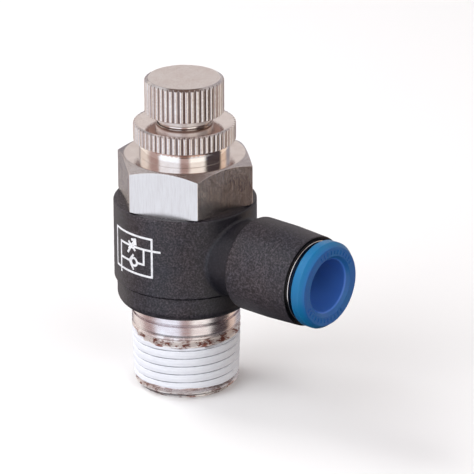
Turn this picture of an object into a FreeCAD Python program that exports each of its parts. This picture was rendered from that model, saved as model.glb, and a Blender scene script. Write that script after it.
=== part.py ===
"""Elbow flow control valve with a push-in tube port, in millimetres.

The frame: the origin is the centre of the taper thread's lower end, +Z runs up the
bolt to the adjusting knob, and +X runs out along the tube port. The valve is drawn
closed: the needle is screwed down on its seat.

A hollow bolt carries everything. A moulded body swivels round its shank, held between
the hexagon and a split ring. Air goes from the thread's bore through the throttle seat
and the upper row of holes to the port, or back past the lip seal and the lower row.
"""
import FreeCAD, Part
import math
import os

import Sketcher
from FreeCAD import Placement, Rotation, Vector

doc = FreeCAD.newDocument("FlowControlValve")
sheet = doc.addObject("Spreadsheet::Sheet", "Dimensions")

# Each line: alias, value (mm, degrees or a count), what it is.
DIMENSIONS = [
    # Taper thread, size R 3/8: 19 turns to the inch, taper 1 in 16.
    ("thread_pitch", 1.337, "thread pitch"),
    ("thread_depth", 0.856, "depth of the thread groove"),
    ("thread_gauge_radius", 8.331, "crest radius at the gauge plane"),
    ("thread_gauge_height", 6.4, "gauge plane above the lower end"),
    ("thread_top", 10.4, "upper end of the thread"),
    ("thread_tip_radius", 7.25, "radius of the chamfered lower end"),
    ("sealant_first_turn", 2, "turns of the thread below the sealant"),
    ("sealant_turns", 5, "turns that the sealant fills"),
    ("sealant_depth", 0.42, "depth of the sealant's surface under the crests"),
    # Hollow bolt, outside.
    ("neck_radius", 8.4, "plain neck above the thread"),
    ("neck_bottom", 10.8, "lower end of the plain neck"),
    ("neck_groove_bottom", 12.15, "lower edge of the relief groove"),
    ("neck_groove_width", 0.4, "width of the relief groove"),
    ("neck_groove_radius", 7.9, "floor of the relief groove"),
    ("clip_groove_bottom", 13.85, "lower edge of the retaining ring's groove"),
    ("clip_groove_top", 14.75, "upper edge of the retaining ring's groove"),
    ("clip_groove_radius", 7.7, "floor of the retaining ring's groove"),
    ("lower_land_radius", 8.45, "lower bearing land"),
    ("lower_land_top", 16.5, "upper end of the lower land"),
    ("check_shank_radius", 7.1, "shank under the lip seal"),
    ("flange_radius", 8.3, "flange above the lip seal"),
    ("flange_bottom", 19.9, "lower face of the flange"),
    ("flange_top", 20.3, "upper face of the flange"),
    ("chamber_shank_radius", 6.9, "shank in the upper chamber"),
    ("upper_land_radius", 9.1, "upper bearing land"),
    ("upper_land_bottom", 26.9, "lower end of the upper land"),
    ("hex_flats", 19.0, "hexagon across flats"),
    ("hex_turn", 21.0, "turn of a hexagon corner from +X, degrees"),
    ("hex_bottom", 30.3, "lower face of the hexagon"),
    ("hex_top", 37.8, "upper face of the hexagon"),
    ("hex_bottom_bevel", 0.45, "rise of the lower corner bevel"),
    ("hex_top_bevel", 1.0, "fall of the upper corner bevel"),
    ("hex_face_inset", 0.3, "inset of the round end faces inside the flats"),
    # Hollow bolt, inside.
    ("port_bore_radius", 5.0, "bore up to the seat and above it"),
    ("seat_bottom", 18.5, "lower face of the seat ring"),
    ("seat_top", 20.5, "upper face of the seat ring"),
    ("rib_radius", 4.4, "rib that stops the seat ring"),
    ("rib_top", 21.1, "upper face of that rib"),
    ("guide_radius", 6.0, "bore that holds the needle guide"),
    ("guide_bottom", 26.4, "lower end of that bore"),
    ("upper_hole_radius", 1.5, "holes to the upper chamber"),
    ("upper_hole_height", 23.6, "height of those holes"),
    ("upper_hole_count", 6, "number of those holes"),
    ("lower_hole_radius", 0.7, "bypass holes below the lip seal"),
    ("lower_hole_height", 17.31, "height of those holes"),
    ("lower_hole_count", 8, "number of those holes"),
    # Seat and needle.
    ("seat_radius", 2.5, "throttle seat"),
    ("needle_tip_radius", 1.3, "tip of the needle"),
    ("needle_tip_height", 17.4, "height of the tip when closed"),
    ("needle_stem_radius", 2.7, "stem above the needle"),
    ("spindle_land_radius", 4.43, "land that carries the spindle's ring"),
    ("spindle_land_bottom", 26.6, "lower end of that land"),
    ("spindle_land_top", 28.8, "upper end of that land, which stops the lift"),
    ("spindle_thread_radius", 4.0, "spindle thread M8 x 0.75, over its crests"),
    ("spindle_shoulder", 43.25, "top of the spindle thread"),
    ("spindle_stem_radius", 3.0, "stem pressed into the knob"),
    ("spindle_top", 48.4, "top of the spindle"),
    # Needle guide.
    ("guide_bore_radius", 4.5, "bore round the spindle's land"),
    ("guide_thread_radius", 4.06, "threaded bore, over the spindle's crests"),
    ("guide_thread_bottom", 33.5, "lower end of the threaded bore"),
    ("collar_radius", 6.97, "collar on the hexagon"),
    ("collar_top", 40.0, "upper face of the collar"),
    ("collar_bevel_width", 0.4, "width of the collar's top bevel"),
    ("collar_bevel_height", 0.7, "height of the collar's top bevel"),
    # Lock nut and knob.
    ("nut_radius", 7.84, "lock nut over the knurl"),
    ("nut_face_radius", 7.3, "flat faces of the lock nut"),
    ("nut_bottom", 40.04, "lower face of the lock nut"),
    ("nut_top", 42.9, "upper face of the lock nut"),
    ("nut_bevel", 0.16, "height of the lock nut's edge bevel"),
    ("nut_ridges", 56, "knurl ridges on the lock nut"),
    ("knob_radius", 6.07, "knob over the knurl"),
    ("knob_face_radius", 5.5, "flat top of the knob"),
    ("knob_bottom", 44.37, "lower edge of the knob's knurl"),
    ("knob_top", 49.92, "top of the knob"),
    ("knob_bevel", 0.35, "height of the knob's top bevel"),
    ("knob_boss_radius", 4.4, "boss under the knob"),
    ("knob_ridges", 44, "knurl ridges on the knob"),
    ("knurl_depth", 0.36, "depth of the knurl grooves"),
    # Swivelling body: the ring round the bolt.
    ("ring_radius", 11.0, "upper part of the ring"),
    ("ring_low_radius", 10.56, "lower part of the ring"),
    ("ring_bottom", 13.7, "lower face of the ring"),
    ("ring_step", 18.0, "height of the step in the ring"),
    ("ring_top", 30.15, "upper face of the ring"),
    ("ring_bottom_round", 1.4, "round of the lower edge"),
    ("ring_top_round", 0.3, "round of the upper edge"),
    ("clip_recess_radius", 9.3, "recess for the retaining ring"),
    ("clip_recess_top", 14.85, "floor of that recess"),
    ("lower_bore_radius", 8.5, "bore on the lower land"),
    ("lower_bore_top", 16.6, "upper end of that bore"),
    ("check_bore_radius", 8.9, "bore that the lip seal wipes"),
    ("check_bore_top", 19.95, "upper end of that bore"),
    ("upper_bore_radius", 9.15, "bore of the chamber and the upper land"),
    # Swivelling body: the barrel of the port.
    ("port_height", 23.3, "height of the port's axis"),
    ("boss_radius", 6.0, "boss between ring and barrel"),
    ("barrel_radius", 7.24, "barrel"),
    ("barrel_back", 13.9, "back face of the barrel"),
    ("barrel_straight", 19.5, "where the barrel starts to narrow"),
    ("barrel_front", 25.4, "mouth of the barrel"),
    ("barrel_front_radius", 6.95, "barrel at its mouth"),
    ("barrel_back_round", 1.1, "round of the back edge"),
    ("barrel_front_round", 0.25, "round of the mouth's edge"),
    ("passage_radius", 3.2, "air passage into the chamber"),
    ("tube_stop", 11.0, "shoulder where the tube stops"),
    ("tube_bore_radius", 4.1, "bore for a tube of 8 mm"),
    ("tube_guide_end", 15.5, "end of the tube guide"),
    ("cartridge_radius", 6.0, "bore for the seal, rings and bush"),
    # Push-in cartridge.
    ("bush_back", 20.8, "back end of the bush"),
    ("bush_flange_radius", 6.35, "bright flange of the bush"),
    ("bush_face", 25.65, "front face of that flange"),
    ("bush_inner_radius", 5.4, "inside of the bush"),
    ("bush_lip_radius", 5.15, "lip that keeps the release ring in"),
    ("bush_lip_back", 24.6, "back face of that lip"),
    ("release_nose", 20.9, "nose of the release ring, at the teeth"),
    ("slot_turn", 17.0, "turn of the release ring's slots, degrees"),
    ("release_sleeve_radius", 4.95, "sleeve of the release ring"),
    ("release_barb_radius", 5.3, "barb behind the bush's lip"),
    ("release_flange_back", 26.4, "back of the release ring's flange"),
    ("release_flange_radius", 6.7, "flange of the release ring"),
    ("release_face", 28.65, "front face of the release ring"),
    ("release_round", 0.9, "round of the flange's front edge"),
    ("release_mouth_radius", 4.4, "mouth of the release ring"),
    ("teeth_radius", 4.12, "tips of the grip ring's teeth, as on a tube"),
    ("teeth_count", 10, "number of teeth"),
    # Rubber rings: centre radius, section radius and height of each.
    ("spindle_ring_centre", 4.0, "spindle's ring"),
    ("spindle_ring_section", 0.42, "its section"),
    ("spindle_ring_height", 27.75, "its height"),
    ("guide_ring_centre", 5.52, "needle guide's ring"),
    ("guide_ring_section", 0.45, "its section"),
    ("guide_ring_height", 31.15, "its height"),
    ("upper_ring_centre", 8.47, "body's upper ring"),
    ("upper_ring_section", 0.6, "its section"),
    ("upper_ring_height", 28.6, "its height"),
    ("lower_ring_centre", 7.92, "body's lower ring"),
    ("lower_ring_section", 0.5, "its section"),
    ("lower_ring_height", 15.7, "its height"),
]


class Size:
    """A length together with the sheet expression that drives it."""

    def __init__(self, value, text):
        self.value = float(value)
        self.text = text

    def combine(self, sign, other, value):
        return Size(value, "(%s %s %s)" % (self.text, sign, other.text))

    def __add__(self, other):
        other = as_size(other)
        return self.combine("+", other, self.value + other.value)

    def __sub__(self, other):
        other = as_size(other)
        return self.combine("-", other, self.value - other.value)

    def __mul__(self, other):
        other = as_size(other)
        return self.combine("*", other, self.value * other.value)

    def __truediv__(self, other):
        other = as_size(other)
        return self.combine("/", other, self.value / other.value)


def as_size(item):
    return item if isinstance(item, Size) else Size(item, repr(float(item)))


class Dimensions:
    """The sheet's cells, read by their aliases as sizes."""

    def __init__(self, rows):
        for number, (alias, value, meaning) in enumerate(rows, 1):
            sheet.set("A%d" % number, meaning)
            sheet.set("B%d" % number, str(value))
            sheet.setAlias("B%d" % number, alias)
            setattr(self, alias, Size(value, "Dimensions." + alias))


d = Dimensions(DIMENSIONS)
doc.recompute()


# ---------------------------------------------------------------- helpers

def bind(obj, prop, size):
    """Drive a property from the sheet."""
    obj.setExpression(prop, as_size(size).text)


def new_body(label):
    body = doc.addObject("PartDesign::Body", label)
    body.Label = label
    return body


def set_along_port(body):
    """Lay a piece that is drawn round its own Z along the port's axis."""
    body.Placement = Placement(Vector(0, 0, 0), Rotation(Vector(0, 1, 0), 90))
    bind(body, ".Placement.Base.z", d.port_height)


def new_sketch(body, name, plane="XZ_Plane", offset=None):
    """A sketch on one of the body's own planes, moved along its normal by offset."""
    sketch = body.newObject("Sketcher::SketchObject", name)
    for feature in body.Origin.OriginFeatures:
        if feature.Role == plane:
            sketch.AttachmentSupport = (feature, [""])
    sketch.MapMode = "FlatFace"
    if offset is not None:
        bind(sketch, ".AttachmentOffset.Base.z", offset)
    return sketch


def pin_point(sketch, edge, end, across, along):
    """Fix one point of a sketch at sizes from the sheet."""
    for kind, axis, size in (("DistanceX", -2, across), ("DistanceY", -1, along)):
        size = as_size(size)
        if abs(size.value) < 1e-9:
            sketch.addConstraint(Sketcher.Constraint("PointOnObject", edge, end, axis))
        else:
            number = sketch.addConstraint(
                Sketcher.Constraint(kind, -1, 1, edge, end, size.value))
            bind(sketch, "Constraints[%d]" % number, size)


def draw_outline(sketch, corners):
    """A closed outline of straight edges through sized corners."""
    points = [Vector(as_size(a).value, as_size(b).value, 0) for a, b in corners]
    count = len(points)
    first = sketch.GeometryCount
    for i in range(count):
        sketch.addGeometry(Part.LineSegment(points[i], points[(i + 1) % count]), False)
    for i in range(count):
        following = first + (i + 1) % count
        sketch.addConstraint(
            Sketcher.Constraint("Coincident", first + i, 2, following, 1))
    for i, (across, along) in enumerate(corners):
        pin_point(sketch, first + i, 1, across, along)


def draw_circle(sketch, across, along, radius):
    """A circle with a sized centre and radius."""
    centre = Vector(as_size(across).value, as_size(along).value, 0)
    number = sketch.addGeometry(
        Part.Circle(centre, Vector(0, 0, 1), radius.value), False)
    pin_point(sketch, number, 3, across, along)
    limit = sketch.addConstraint(Sketcher.Constraint("Radius", number, radius.value))
    bind(sketch, "Constraints[%d]" % limit, radius)


def revolve(body, name, corners, cut=False, axis="V_Axis", lift=None, angle=360):
    """Turn an outline round the body's Z, or round a line along X at height lift."""
    sketch = new_sketch(body, name + "Outline")
    if lift is not None:
        bind(sketch, ".AttachmentOffset.Base.y", lift)
    draw_outline(sketch, corners)
    kind = "PartDesign::Groove" if cut else "PartDesign::Revolution"
    feature = body.newObject(kind, name)
    feature.Profile = sketch
    feature.ReferenceAxis = (sketch, [axis])
    feature.Angle = angle
    sketch.Visibility = False
    doc.recompute()
    return feature


def pocket(body, name, sketch, length):
    """Cut the sketch's shape out of the body; the cut has to remove material."""
    before = body.Tip.Shape.Volume
    feature = body.newObject("PartDesign::Pocket", name)
    feature.Profile = sketch
    bind(feature, "Length", length)
    doc.recompute()
    if feature.Shape.Volume > before - 1e-6:
        feature.Reversed = True
        doc.recompute()
    if feature.Shape.Volume > before - 1e-6:
        raise RuntimeError(name + " cuts nothing")
    return feature


def pattern_round(body, name, feature, sketch, axis, count):
    """Repeat a feature evenly round the sketch's axis."""
    pattern = body.newObject("PartDesign::PolarPattern", name)
    pattern.Originals = [feature]
    pattern.Axis = (sketch, [axis])
    pattern.Angle = 360
    bind(pattern, "Occurrences", count)
    body.Tip = pattern
    doc.recompute()
    return pattern


def radial_holes(body, name, radius, height, count, reach):
    """A row of round holes from the bolt's axis outwards."""
    sketch = new_sketch(body, name + "Outline")
    draw_circle(sketch, 0, height, radius)
    hole = pocket(body, name, sketch, reach)
    return pattern_round(body, name + "Row", hole, sketch, "V_Axis", count)


def round_edges(feature):
    """Every full-circle edge of a feature, with its name, radius and centre."""
    found = []
    for number, edge in enumerate(feature.Shape.Edges, 1):
        if isinstance(edge.Curve, Part.Circle):
            found.append(("Edge%d" % number, edge.Curve.Radius, edge.Curve.Center))
    return found


def fillet(body, name, wanted, size):
    """Round the circular edges whose radius and centre are in the wanted list."""
    names = []
    for edge, radius, centre in round_edges(body.Tip):
        for wanted_radius, wanted_centre in wanted:
            near = (centre - wanted_centre).Length < 1e-4
            if near and abs(radius - wanted_radius.value) < 1e-4:
                names.append(edge)
    if not names:
        raise RuntimeError(name + " finds no edge")
    feature = body.newObject("PartDesign::Fillet", name)
    feature.Base = (feature.BaseFeature or body.Tip, names)
    bind(feature, "Radius", size)
    doc.recompute()
    return feature


def rubber_ring(label, centre, section, height):
    """An O-ring, drawn at the size it has in its groove."""
    ring = doc.addObject("Part::Torus", label)
    ring.Label = label
    bind(ring, "Radius1", centre)
    bind(ring, "Radius2", section)
    bind(ring, ".Placement.Base.z", height)
    return ring


def knurl(body, name, radius, bottom, height, ridges):
    """Straight V grooves all round a knurled rim."""
    sketch = new_sketch(body, name + "Outline", "XY_Plane", bottom)
    half_width = radius * (math.pi * 0.92) / ridges
    floor = radius - d.knurl_depth
    outside = radius + 0.2
    draw_outline(sketch, [
        (floor, half_width * -0.12),
        (outside, half_width * -1.0),
        (outside, half_width),
        (floor, half_width * 0.12),
    ])
    groove = pocket(body, name, sketch, height)
    return pattern_round(body, name + "Round", groove, sketch, "N_Axis", ridges)


# ---------------------------------------------------------------- the bolt

TAPER = 1.0 / 32.0          # radius gained per millimetre of height
THREAD_START = -1.0         # the groove is cut from below the lower end
FLANK_ANGLE = math.radians(27.5)
SIXTH_CREST = 0.111         # half the flat at a crest or a root
CUT_MARGIN = 0.12           # how far a cut runs past the surface
SEALANT_GAP = 0.03          # keeps the sealant's solid off the bolt's


def crest_radius(height):
    """Crest radius of the taper thread at this height."""
    return d.thread_gauge_radius + (as_size(height) - d.thread_gauge_height) * TAPER


def hexagon(body, name):
    """Cut the turned head to a hexagon."""
    sketch = new_sketch(body, name + "Outline", "XY_Plane", d.hex_bottom)
    corner_radius = d.hex_flats / math.sqrt(3.0)
    corners = []
    for step in range(6):
        angle = math.radians(d.hex_turn.value + 60 * step)
        corners.append((corner_radius * math.cos(angle), corner_radius * math.sin(angle)))
    draw_outline(sketch, corners)
    draw_circle(sketch, 0, 0, corner_radius + 2.0)
    pocket(body, name, sketch, d.hex_top - d.hex_bottom)


def thread_sweep(name, bottom, height, section):
    """Sweep a section up the taper thread's helix."""
    path = doc.addObject("Part::Helix", name + "Path")
    bind(path, "Pitch", d.thread_pitch)
    bind(path, "Height", height)
    bind(path, "Radius", crest_radius(bottom))
    path.Angle = math.degrees(math.atan(TAPER))
    path.SegmentLength = 1
    bind(path, ".Placement.Base.z", bottom)
    outline = doc.addObject("Sketcher::SketchObject", name + "Outline")
    outline.Placement = Placement(Vector(0, 0, 0), Rotation(Vector(1, 0, 0), 90))
    draw_outline(outline, section)
    doc.recompute()
    sweep = doc.addObject("Part::Sweep", name)
    sweep.Sections = [outline]
    sweep.Spine = (path, [])
    sweep.Solid = True
    sweep.Frenet = True
    doc.recompute()
    return sweep


def hollow_bolt():
    """Thread, neck, shank and hexagon, turned from one bar, and its air holes."""
    body = new_body("bolt_blank")
    corner_radius = d.hex_flats / math.sqrt(3.0)
    face_radius = d.hex_flats / 2 - d.hex_face_inset
    tip_rise = 0.9
    groove_top = d.neck_groove_bottom + d.neck_groove_width
    revolve(body, "Turned", [
        (d.port_bore_radius, 0),
        (d.thread_tip_radius, 0),
        (crest_radius(tip_rise), tip_rise),
        (crest_radius(d.thread_top), d.thread_top),
        (d.neck_radius, d.neck_bottom),
        (d.neck_radius, d.neck_groove_bottom),
        (d.neck_groove_radius, d.neck_groove_bottom),
        (d.neck_groove_radius, groove_top),
        (d.neck_radius, groove_top),
        (d.neck_radius, d.clip_groove_bottom),
        (d.clip_groove_radius, d.clip_groove_bottom),
        (d.clip_groove_radius, d.clip_groove_top),
        (d.lower_land_radius, d.clip_groove_top),
        (d.lower_land_radius, d.lower_land_top),
        (d.check_shank_radius, d.lower_land_top),
        (d.check_shank_radius, d.flange_bottom),
        (d.flange_radius, d.flange_bottom),
        (d.flange_radius, d.flange_top),
        (d.chamber_shank_radius, d.flange_top),
        (d.chamber_shank_radius, d.upper_land_bottom),
        (d.upper_land_radius, d.upper_land_bottom),
        (d.upper_land_radius, d.hex_bottom),
        (face_radius, d.hex_bottom),
        (corner_radius, d.hex_bottom + d.hex_bottom_bevel),
        (corner_radius, d.hex_top - d.hex_top_bevel),
        (face_radius, d.hex_top),
        (d.guide_radius, d.hex_top),
        (d.guide_radius, d.guide_bottom),
        (d.port_bore_radius, d.guide_bottom),
        (d.port_bore_radius, d.rib_top),
        (d.rib_radius, d.rib_top),
        (d.rib_radius, d.seat_top),
        (d.port_bore_radius, d.seat_top),
    ])
    for name, centre, section, height in (
            ("UpperRingGroove", d.upper_ring_centre, d.upper_ring_section, d.upper_ring_height),
            ("LowerRingGroove", d.lower_ring_centre, d.lower_ring_section, d.lower_ring_height)):
        floor = centre - section - 0.01
        side = section + 0.1
        revolve(body, name, [
            (floor, height - side),
            (centre + 1.5, height - side),
            (centre + 1.5, height + side),
            (floor, height + side),
        ], cut=True)
    hexagon(body, "Hexagon")
    radial_holes(body, "UpperHoles", d.upper_hole_radius, d.upper_hole_height,
                 d.upper_hole_count, d.chamber_shank_radius + 0.8)
    radial_holes(body, "LowerHoles", d.lower_hole_radius, d.lower_hole_height,
                 d.lower_hole_count, d.check_shank_radius + 0.8)
    crest = crest_radius(THREAD_START)
    mouth = d.thread_pitch / 2 - SIXTH_CREST + CUT_MARGIN * math.tan(FLANK_ANGLE)
    groove = thread_sweep("ThreadGroove", THREAD_START, d.thread_top - THREAD_START - 0.4, [
        (crest - d.thread_depth, THREAD_START - SIXTH_CREST),
        (crest + CUT_MARGIN, mouth * -1 + THREAD_START),
        (crest + CUT_MARGIN, mouth + THREAD_START),
        (crest - d.thread_depth, THREAD_START + SIXTH_CREST),
    ])
    threaded = doc.addObject("Part::Cut", "hollow_bolt")
    threaded.Label = "hollow_bolt"
    threaded.Base = body
    threaded.Tool = groove
    doc.recompute()
    return threaded


def thread_sealant():
    """White sealant in the bottom of the thread's groove."""
    bottom = d.thread_pitch * d.sealant_first_turn + THREAD_START
    crest = crest_radius(bottom)
    root = crest - d.thread_depth + SEALANT_GAP
    surface = crest - d.sealant_depth
    root_half = 0.08
    surface_half = 0.3
    coat = thread_sweep("thread_sealant", bottom, d.thread_pitch * d.sealant_turns, [
        (root, bottom - root_half),
        (surface, bottom - surface_half),
        (surface, bottom + surface_half),
        (root, bottom + root_half),
    ])
    coat.Label = "thread_sealant"
    return coat


def needle_guide():
    """Collar on the hexagon with a threaded sleeve inside the bolt."""
    body = new_body("needle_guide")
    floor = d.guide_ring_centre - d.guide_ring_section - 0.01
    side = d.guide_ring_section + 0.15
    revolve(body, "Turned", [
        (d.guide_bore_radius, d.guide_bottom),
        (d.guide_radius, d.guide_bottom),
        (d.guide_radius, d.guide_ring_height - side),
        (floor, d.guide_ring_height - side),
        (floor, d.guide_ring_height + side),
        (d.guide_radius, d.guide_ring_height + side),
        (d.guide_radius, d.hex_top),
        (d.collar_radius, d.hex_top),
        (d.collar_radius, d.collar_top - d.collar_bevel_height),
        (d.collar_radius - d.collar_bevel_width, d.collar_top),
        (d.guide_thread_radius, d.collar_top),
        (d.guide_thread_radius, d.guide_thread_bottom),
        (d.guide_bore_radius, d.guide_thread_bottom),
    ])
    return body


def seat_ring():
    """Throttle seat, pressed into the bolt's bore against the rib."""
    body = new_body("seat_ring")
    lead = 0.7
    revolve(body, "Turned", [
        (d.seat_radius + lead, d.seat_bottom),
        (d.port_bore_radius, d.seat_bottom),
        (d.port_bore_radius, d.seat_top),
        (d.seat_radius, d.seat_top),
        (d.seat_radius, d.seat_bottom + lead),
    ])
    return body


def split_ring(label, inner, outer, bottom, top, gap_angle):
    """A flat ring with a gap, which springs over the bolt."""
    body = new_body(label)
    revolve(body, "Turned", [
        (inner, bottom), (outer, bottom), (outer, top), (inner, top),
    ], angle=360 - gap_angle)
    body.Placement = Placement(Vector(0, 0, 0), Rotation(Vector(0, 0, 1), 180))
    return body


def check_lip_seal():
    """One-way lip seal on the shank; its mouth opens downwards."""
    body = new_body("check_lip_seal")
    inner = d.check_shank_radius + 0.02
    top = d.flange_bottom - 0.05
    wipe = d.check_bore_radius - 0.06
    revolve(body, "Moulded", [
        (inner, top - 1.35),
        (inner + 0.55, top - 1.35),
        (inner + 0.6, top - 0.65),
        (wipe - 0.8, top - 0.6),
        (wipe - 0.3, top - 1.3),
        (wipe, top - 1.2),
        (wipe - 0.4, top),
        (inner, top),
    ])
    return body


# ---------------------------------------------------------------- the spindle

def needle_spindle():
    """Needle, sealed land, thread and the stem that the knob is pressed on."""
    body = new_body("needle_spindle")
    floor = d.spindle_ring_centre - d.spindle_ring_section - 0.03
    side = d.spindle_ring_section + 0.13
    face = d.seat_top + 0.08
    shoulder_radius = d.seat_radius + 0.9
    relief = d.spindle_thread_radius - 0.4
    revolve(body, "Turned", [
        (0, d.needle_tip_height),
        (d.needle_tip_radius, d.needle_tip_height),
        (d.seat_radius - 0.08, face),
        (shoulder_radius, face),
        (shoulder_radius, face + 1.0),
        (d.needle_stem_radius, face + 1.6),
        (d.needle_stem_radius, d.spindle_land_bottom - 0.6),
        (d.spindle_land_radius, d.spindle_land_bottom),
        (d.spindle_land_radius, d.spindle_ring_height - side),
        (floor, d.spindle_ring_height - side),
        (floor, d.spindle_ring_height + side),
        (d.spindle_land_radius, d.spindle_ring_height + side),
        (d.spindle_land_radius, d.spindle_land_top),
        (relief, d.spindle_land_top),
        (relief, d.spindle_land_top + 0.5),
        (d.spindle_thread_radius, d.spindle_land_top + 0.9),
        (d.spindle_thread_radius, d.spindle_shoulder),
        (d.spindle_stem_radius, d.spindle_shoulder),
        (d.spindle_stem_radius, d.spindle_top),
        (0, d.spindle_top),
    ])
    return body


def knurled_knob():
    """Adjusting knob, pressed on the spindle's stem."""
    body = new_body("knurled_knob")
    low_bevel = 0.22
    revolve(body, "Turned", [
        (d.spindle_stem_radius, d.spindle_shoulder),
        (d.knob_boss_radius, d.spindle_shoulder),
        (d.knob_boss_radius, d.knob_bottom),
        (d.knob_radius - low_bevel, d.knob_bottom),
        (d.knob_radius, d.knob_bottom + low_bevel),
        (d.knob_radius, d.knob_top - d.knob_bevel),
        (d.knob_face_radius, d.knob_top),
        (0, d.knob_top),
        (0, d.spindle_top + 0.1),
        (d.spindle_stem_radius, d.spindle_top + 0.1),
    ])
    height = d.knob_top - d.knob_bottom
    knurl(body, "Knurl", d.knob_radius, d.knob_bottom, height, d.knob_ridges)
    return body


def lock_nut():
    """Thin knurled nut that is tightened down on the collar."""
    body = new_body("lock_nut")
    revolve(body, "Turned", [
        (d.guide_thread_radius, d.nut_bottom),
        (d.nut_face_radius, d.nut_bottom),
        (d.nut_radius, d.nut_bottom + d.nut_bevel),
        (d.nut_radius, d.nut_top - d.nut_bevel),
        (d.nut_face_radius, d.nut_top),
        (d.guide_thread_radius, d.nut_top),
    ])
    height = d.nut_top - d.nut_bottom
    knurl(body, "Knurl", d.nut_radius, d.nut_bottom, height, d.nut_ridges)
    return body


# ---------------------------------------------------------------- the body

def swivel_body():
    """Ring round the bolt, boss and barrel, moulded in one piece."""
    body = new_body("swivel_body")
    revolve(body, "Ring", [
        (0, d.ring_bottom),
        (d.ring_low_radius, d.ring_bottom),
        (d.ring_low_radius, d.ring_step),
        (d.ring_radius, d.ring_step),
        (d.ring_radius, d.ring_top),
        (0, d.ring_top),
    ])
    fillet(body, "RingTopRound", [(d.ring_radius, Vector(0, 0, d.ring_top.value))],
           d.ring_top_round)
    fillet(body, "RingBottomRound",
           [(d.ring_low_radius, Vector(0, 0, d.ring_bottom.value))], d.ring_bottom_round)
    revolve(body, "Barrel", [
        (0, 0),
        (d.barrel_front, 0),
        (d.barrel_front, d.barrel_front_radius),
        (d.barrel_straight, d.barrel_radius),
        (d.barrel_back, d.barrel_radius),
        (d.barrel_back, d.boss_radius),
        (0, d.boss_radius),
    ], axis="H_Axis", lift=d.port_height)
    height = d.port_height.value
    fillet(body, "BarrelBackRound",
           [(d.barrel_radius, Vector(d.barrel_back.value, 0, height))],
           d.barrel_back_round)
    fillet(body, "BarrelFrontRound",
           [(d.barrel_front_radius, Vector(d.barrel_front.value, 0, height))],
           d.barrel_front_round)
    below = d.ring_bottom - 1.0
    above = d.ring_top + 1.0
    revolve(body, "RingBore", [
        (0, below),
        (d.clip_recess_radius, below),
        (d.clip_recess_radius, d.clip_recess_top),
        (d.lower_bore_radius, d.clip_recess_top),
        (d.lower_bore_radius, d.lower_bore_top),
        (d.check_bore_radius, d.lower_bore_top),
        (d.check_bore_radius, d.check_bore_top),
        (d.upper_bore_radius, d.check_bore_top),
        (d.upper_bore_radius, above),
        (0, above),
    ], cut=True)
    beyond = d.barrel_front + 1.0
    revolve(body, "PortBore", [
        (0, 0),
        (beyond, 0),
        (beyond, d.cartridge_radius),
        (d.tube_guide_end, d.cartridge_radius),
        (d.tube_guide_end, d.tube_bore_radius),
        (d.tube_stop, d.tube_bore_radius),
        (d.tube_stop, d.passage_radius),
        (0, d.passage_radius),
    ], cut=True, axis="H_Axis", lift=d.port_height)
    return body


def tube_seal():
    """Lip seal on the tube, its mouth towards the air."""
    body = new_body("tube_seal")
    inner = d.tube_bore_radius + 0.05
    outer = d.cartridge_radius - 0.02
    back = d.tube_guide_end + 0.15
    revolve(body, "Moulded", [
        (inner, back),
        (inner + 0.45, back),
        (inner + 0.8, back + 0.9),
        (outer - 0.6, back + 0.9),
        (outer - 0.35, back),
        (outer, back),
        (outer, back + 2.15),
        (inner + 0.25, back + 2.15),
        (inner + 0.15, back + 0.9),
    ])
    set_along_port(body)
    return body


def seal_support_ring():
    """Ring between the tube seal and the teeth, with a cone that backs them."""
    body = new_body("seal_support_ring")
    back = d.tube_guide_end + 2.35
    inner = d.teeth_radius + 0.18
    outer = d.cartridge_radius - 0.02
    front = d.bush_back - 0.55
    revolve(body, "Moulded", [
        (inner, back),
        (outer, back),
        (outer, front),
        (outer - 0.6, front),
        (inner, front - 1.0),
    ])
    set_along_port(body)
    return body


def grip_ring():
    """Spring steel ring whose teeth lean inwards and grip the tube."""
    body = new_body("grip_ring")
    outer = d.cartridge_radius - 0.04
    hinge = d.teeth_radius + 1.1
    front = d.bush_back - 0.2
    sheet_metal = 0.3
    lean = 0.7
    revolve(body, "Pressed", [
        (hinge, front - sheet_metal),
        (outer, front - sheet_metal),
        (outer, front),
        (hinge, front),
        (d.teeth_radius, front - lean),
        (d.teeth_radius, front - lean - sheet_metal),
    ])
    sketch = new_sketch(body, "ToothGapOutline", "XY_Plane", front + 0.1)
    half_gap = 0.3
    draw_outline(sketch, [
        (d.teeth_radius - 1.0, -half_gap),
        (hinge, -half_gap),
        (hinge, half_gap),
        (d.teeth_radius - 1.0, half_gap),
    ])
    gap = pocket(body, "ToothGap", sketch, as_size(2.0))
    pattern_round(body, "ToothGaps", gap, sketch, "N_Axis", d.teeth_count)
    set_along_port(body)
    return body


def cartridge_bush():
    """Metal bush pressed into the barrel; its bright flange shows at the mouth."""
    body = new_body("cartridge_bush")
    revolve(body, "Turned", [
        (d.bush_inner_radius, d.bush_back),
        (d.cartridge_radius, d.bush_back),
        (d.cartridge_radius, d.barrel_front),
        (d.bush_flange_radius, d.barrel_front),
        (d.bush_flange_radius, d.bush_face),
        (d.bush_lip_radius, d.bush_face),
        (d.bush_lip_radius, d.bush_lip_back),
        (d.bush_inner_radius, d.bush_lip_back),
    ])
    set_along_port(body)
    return body


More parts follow.
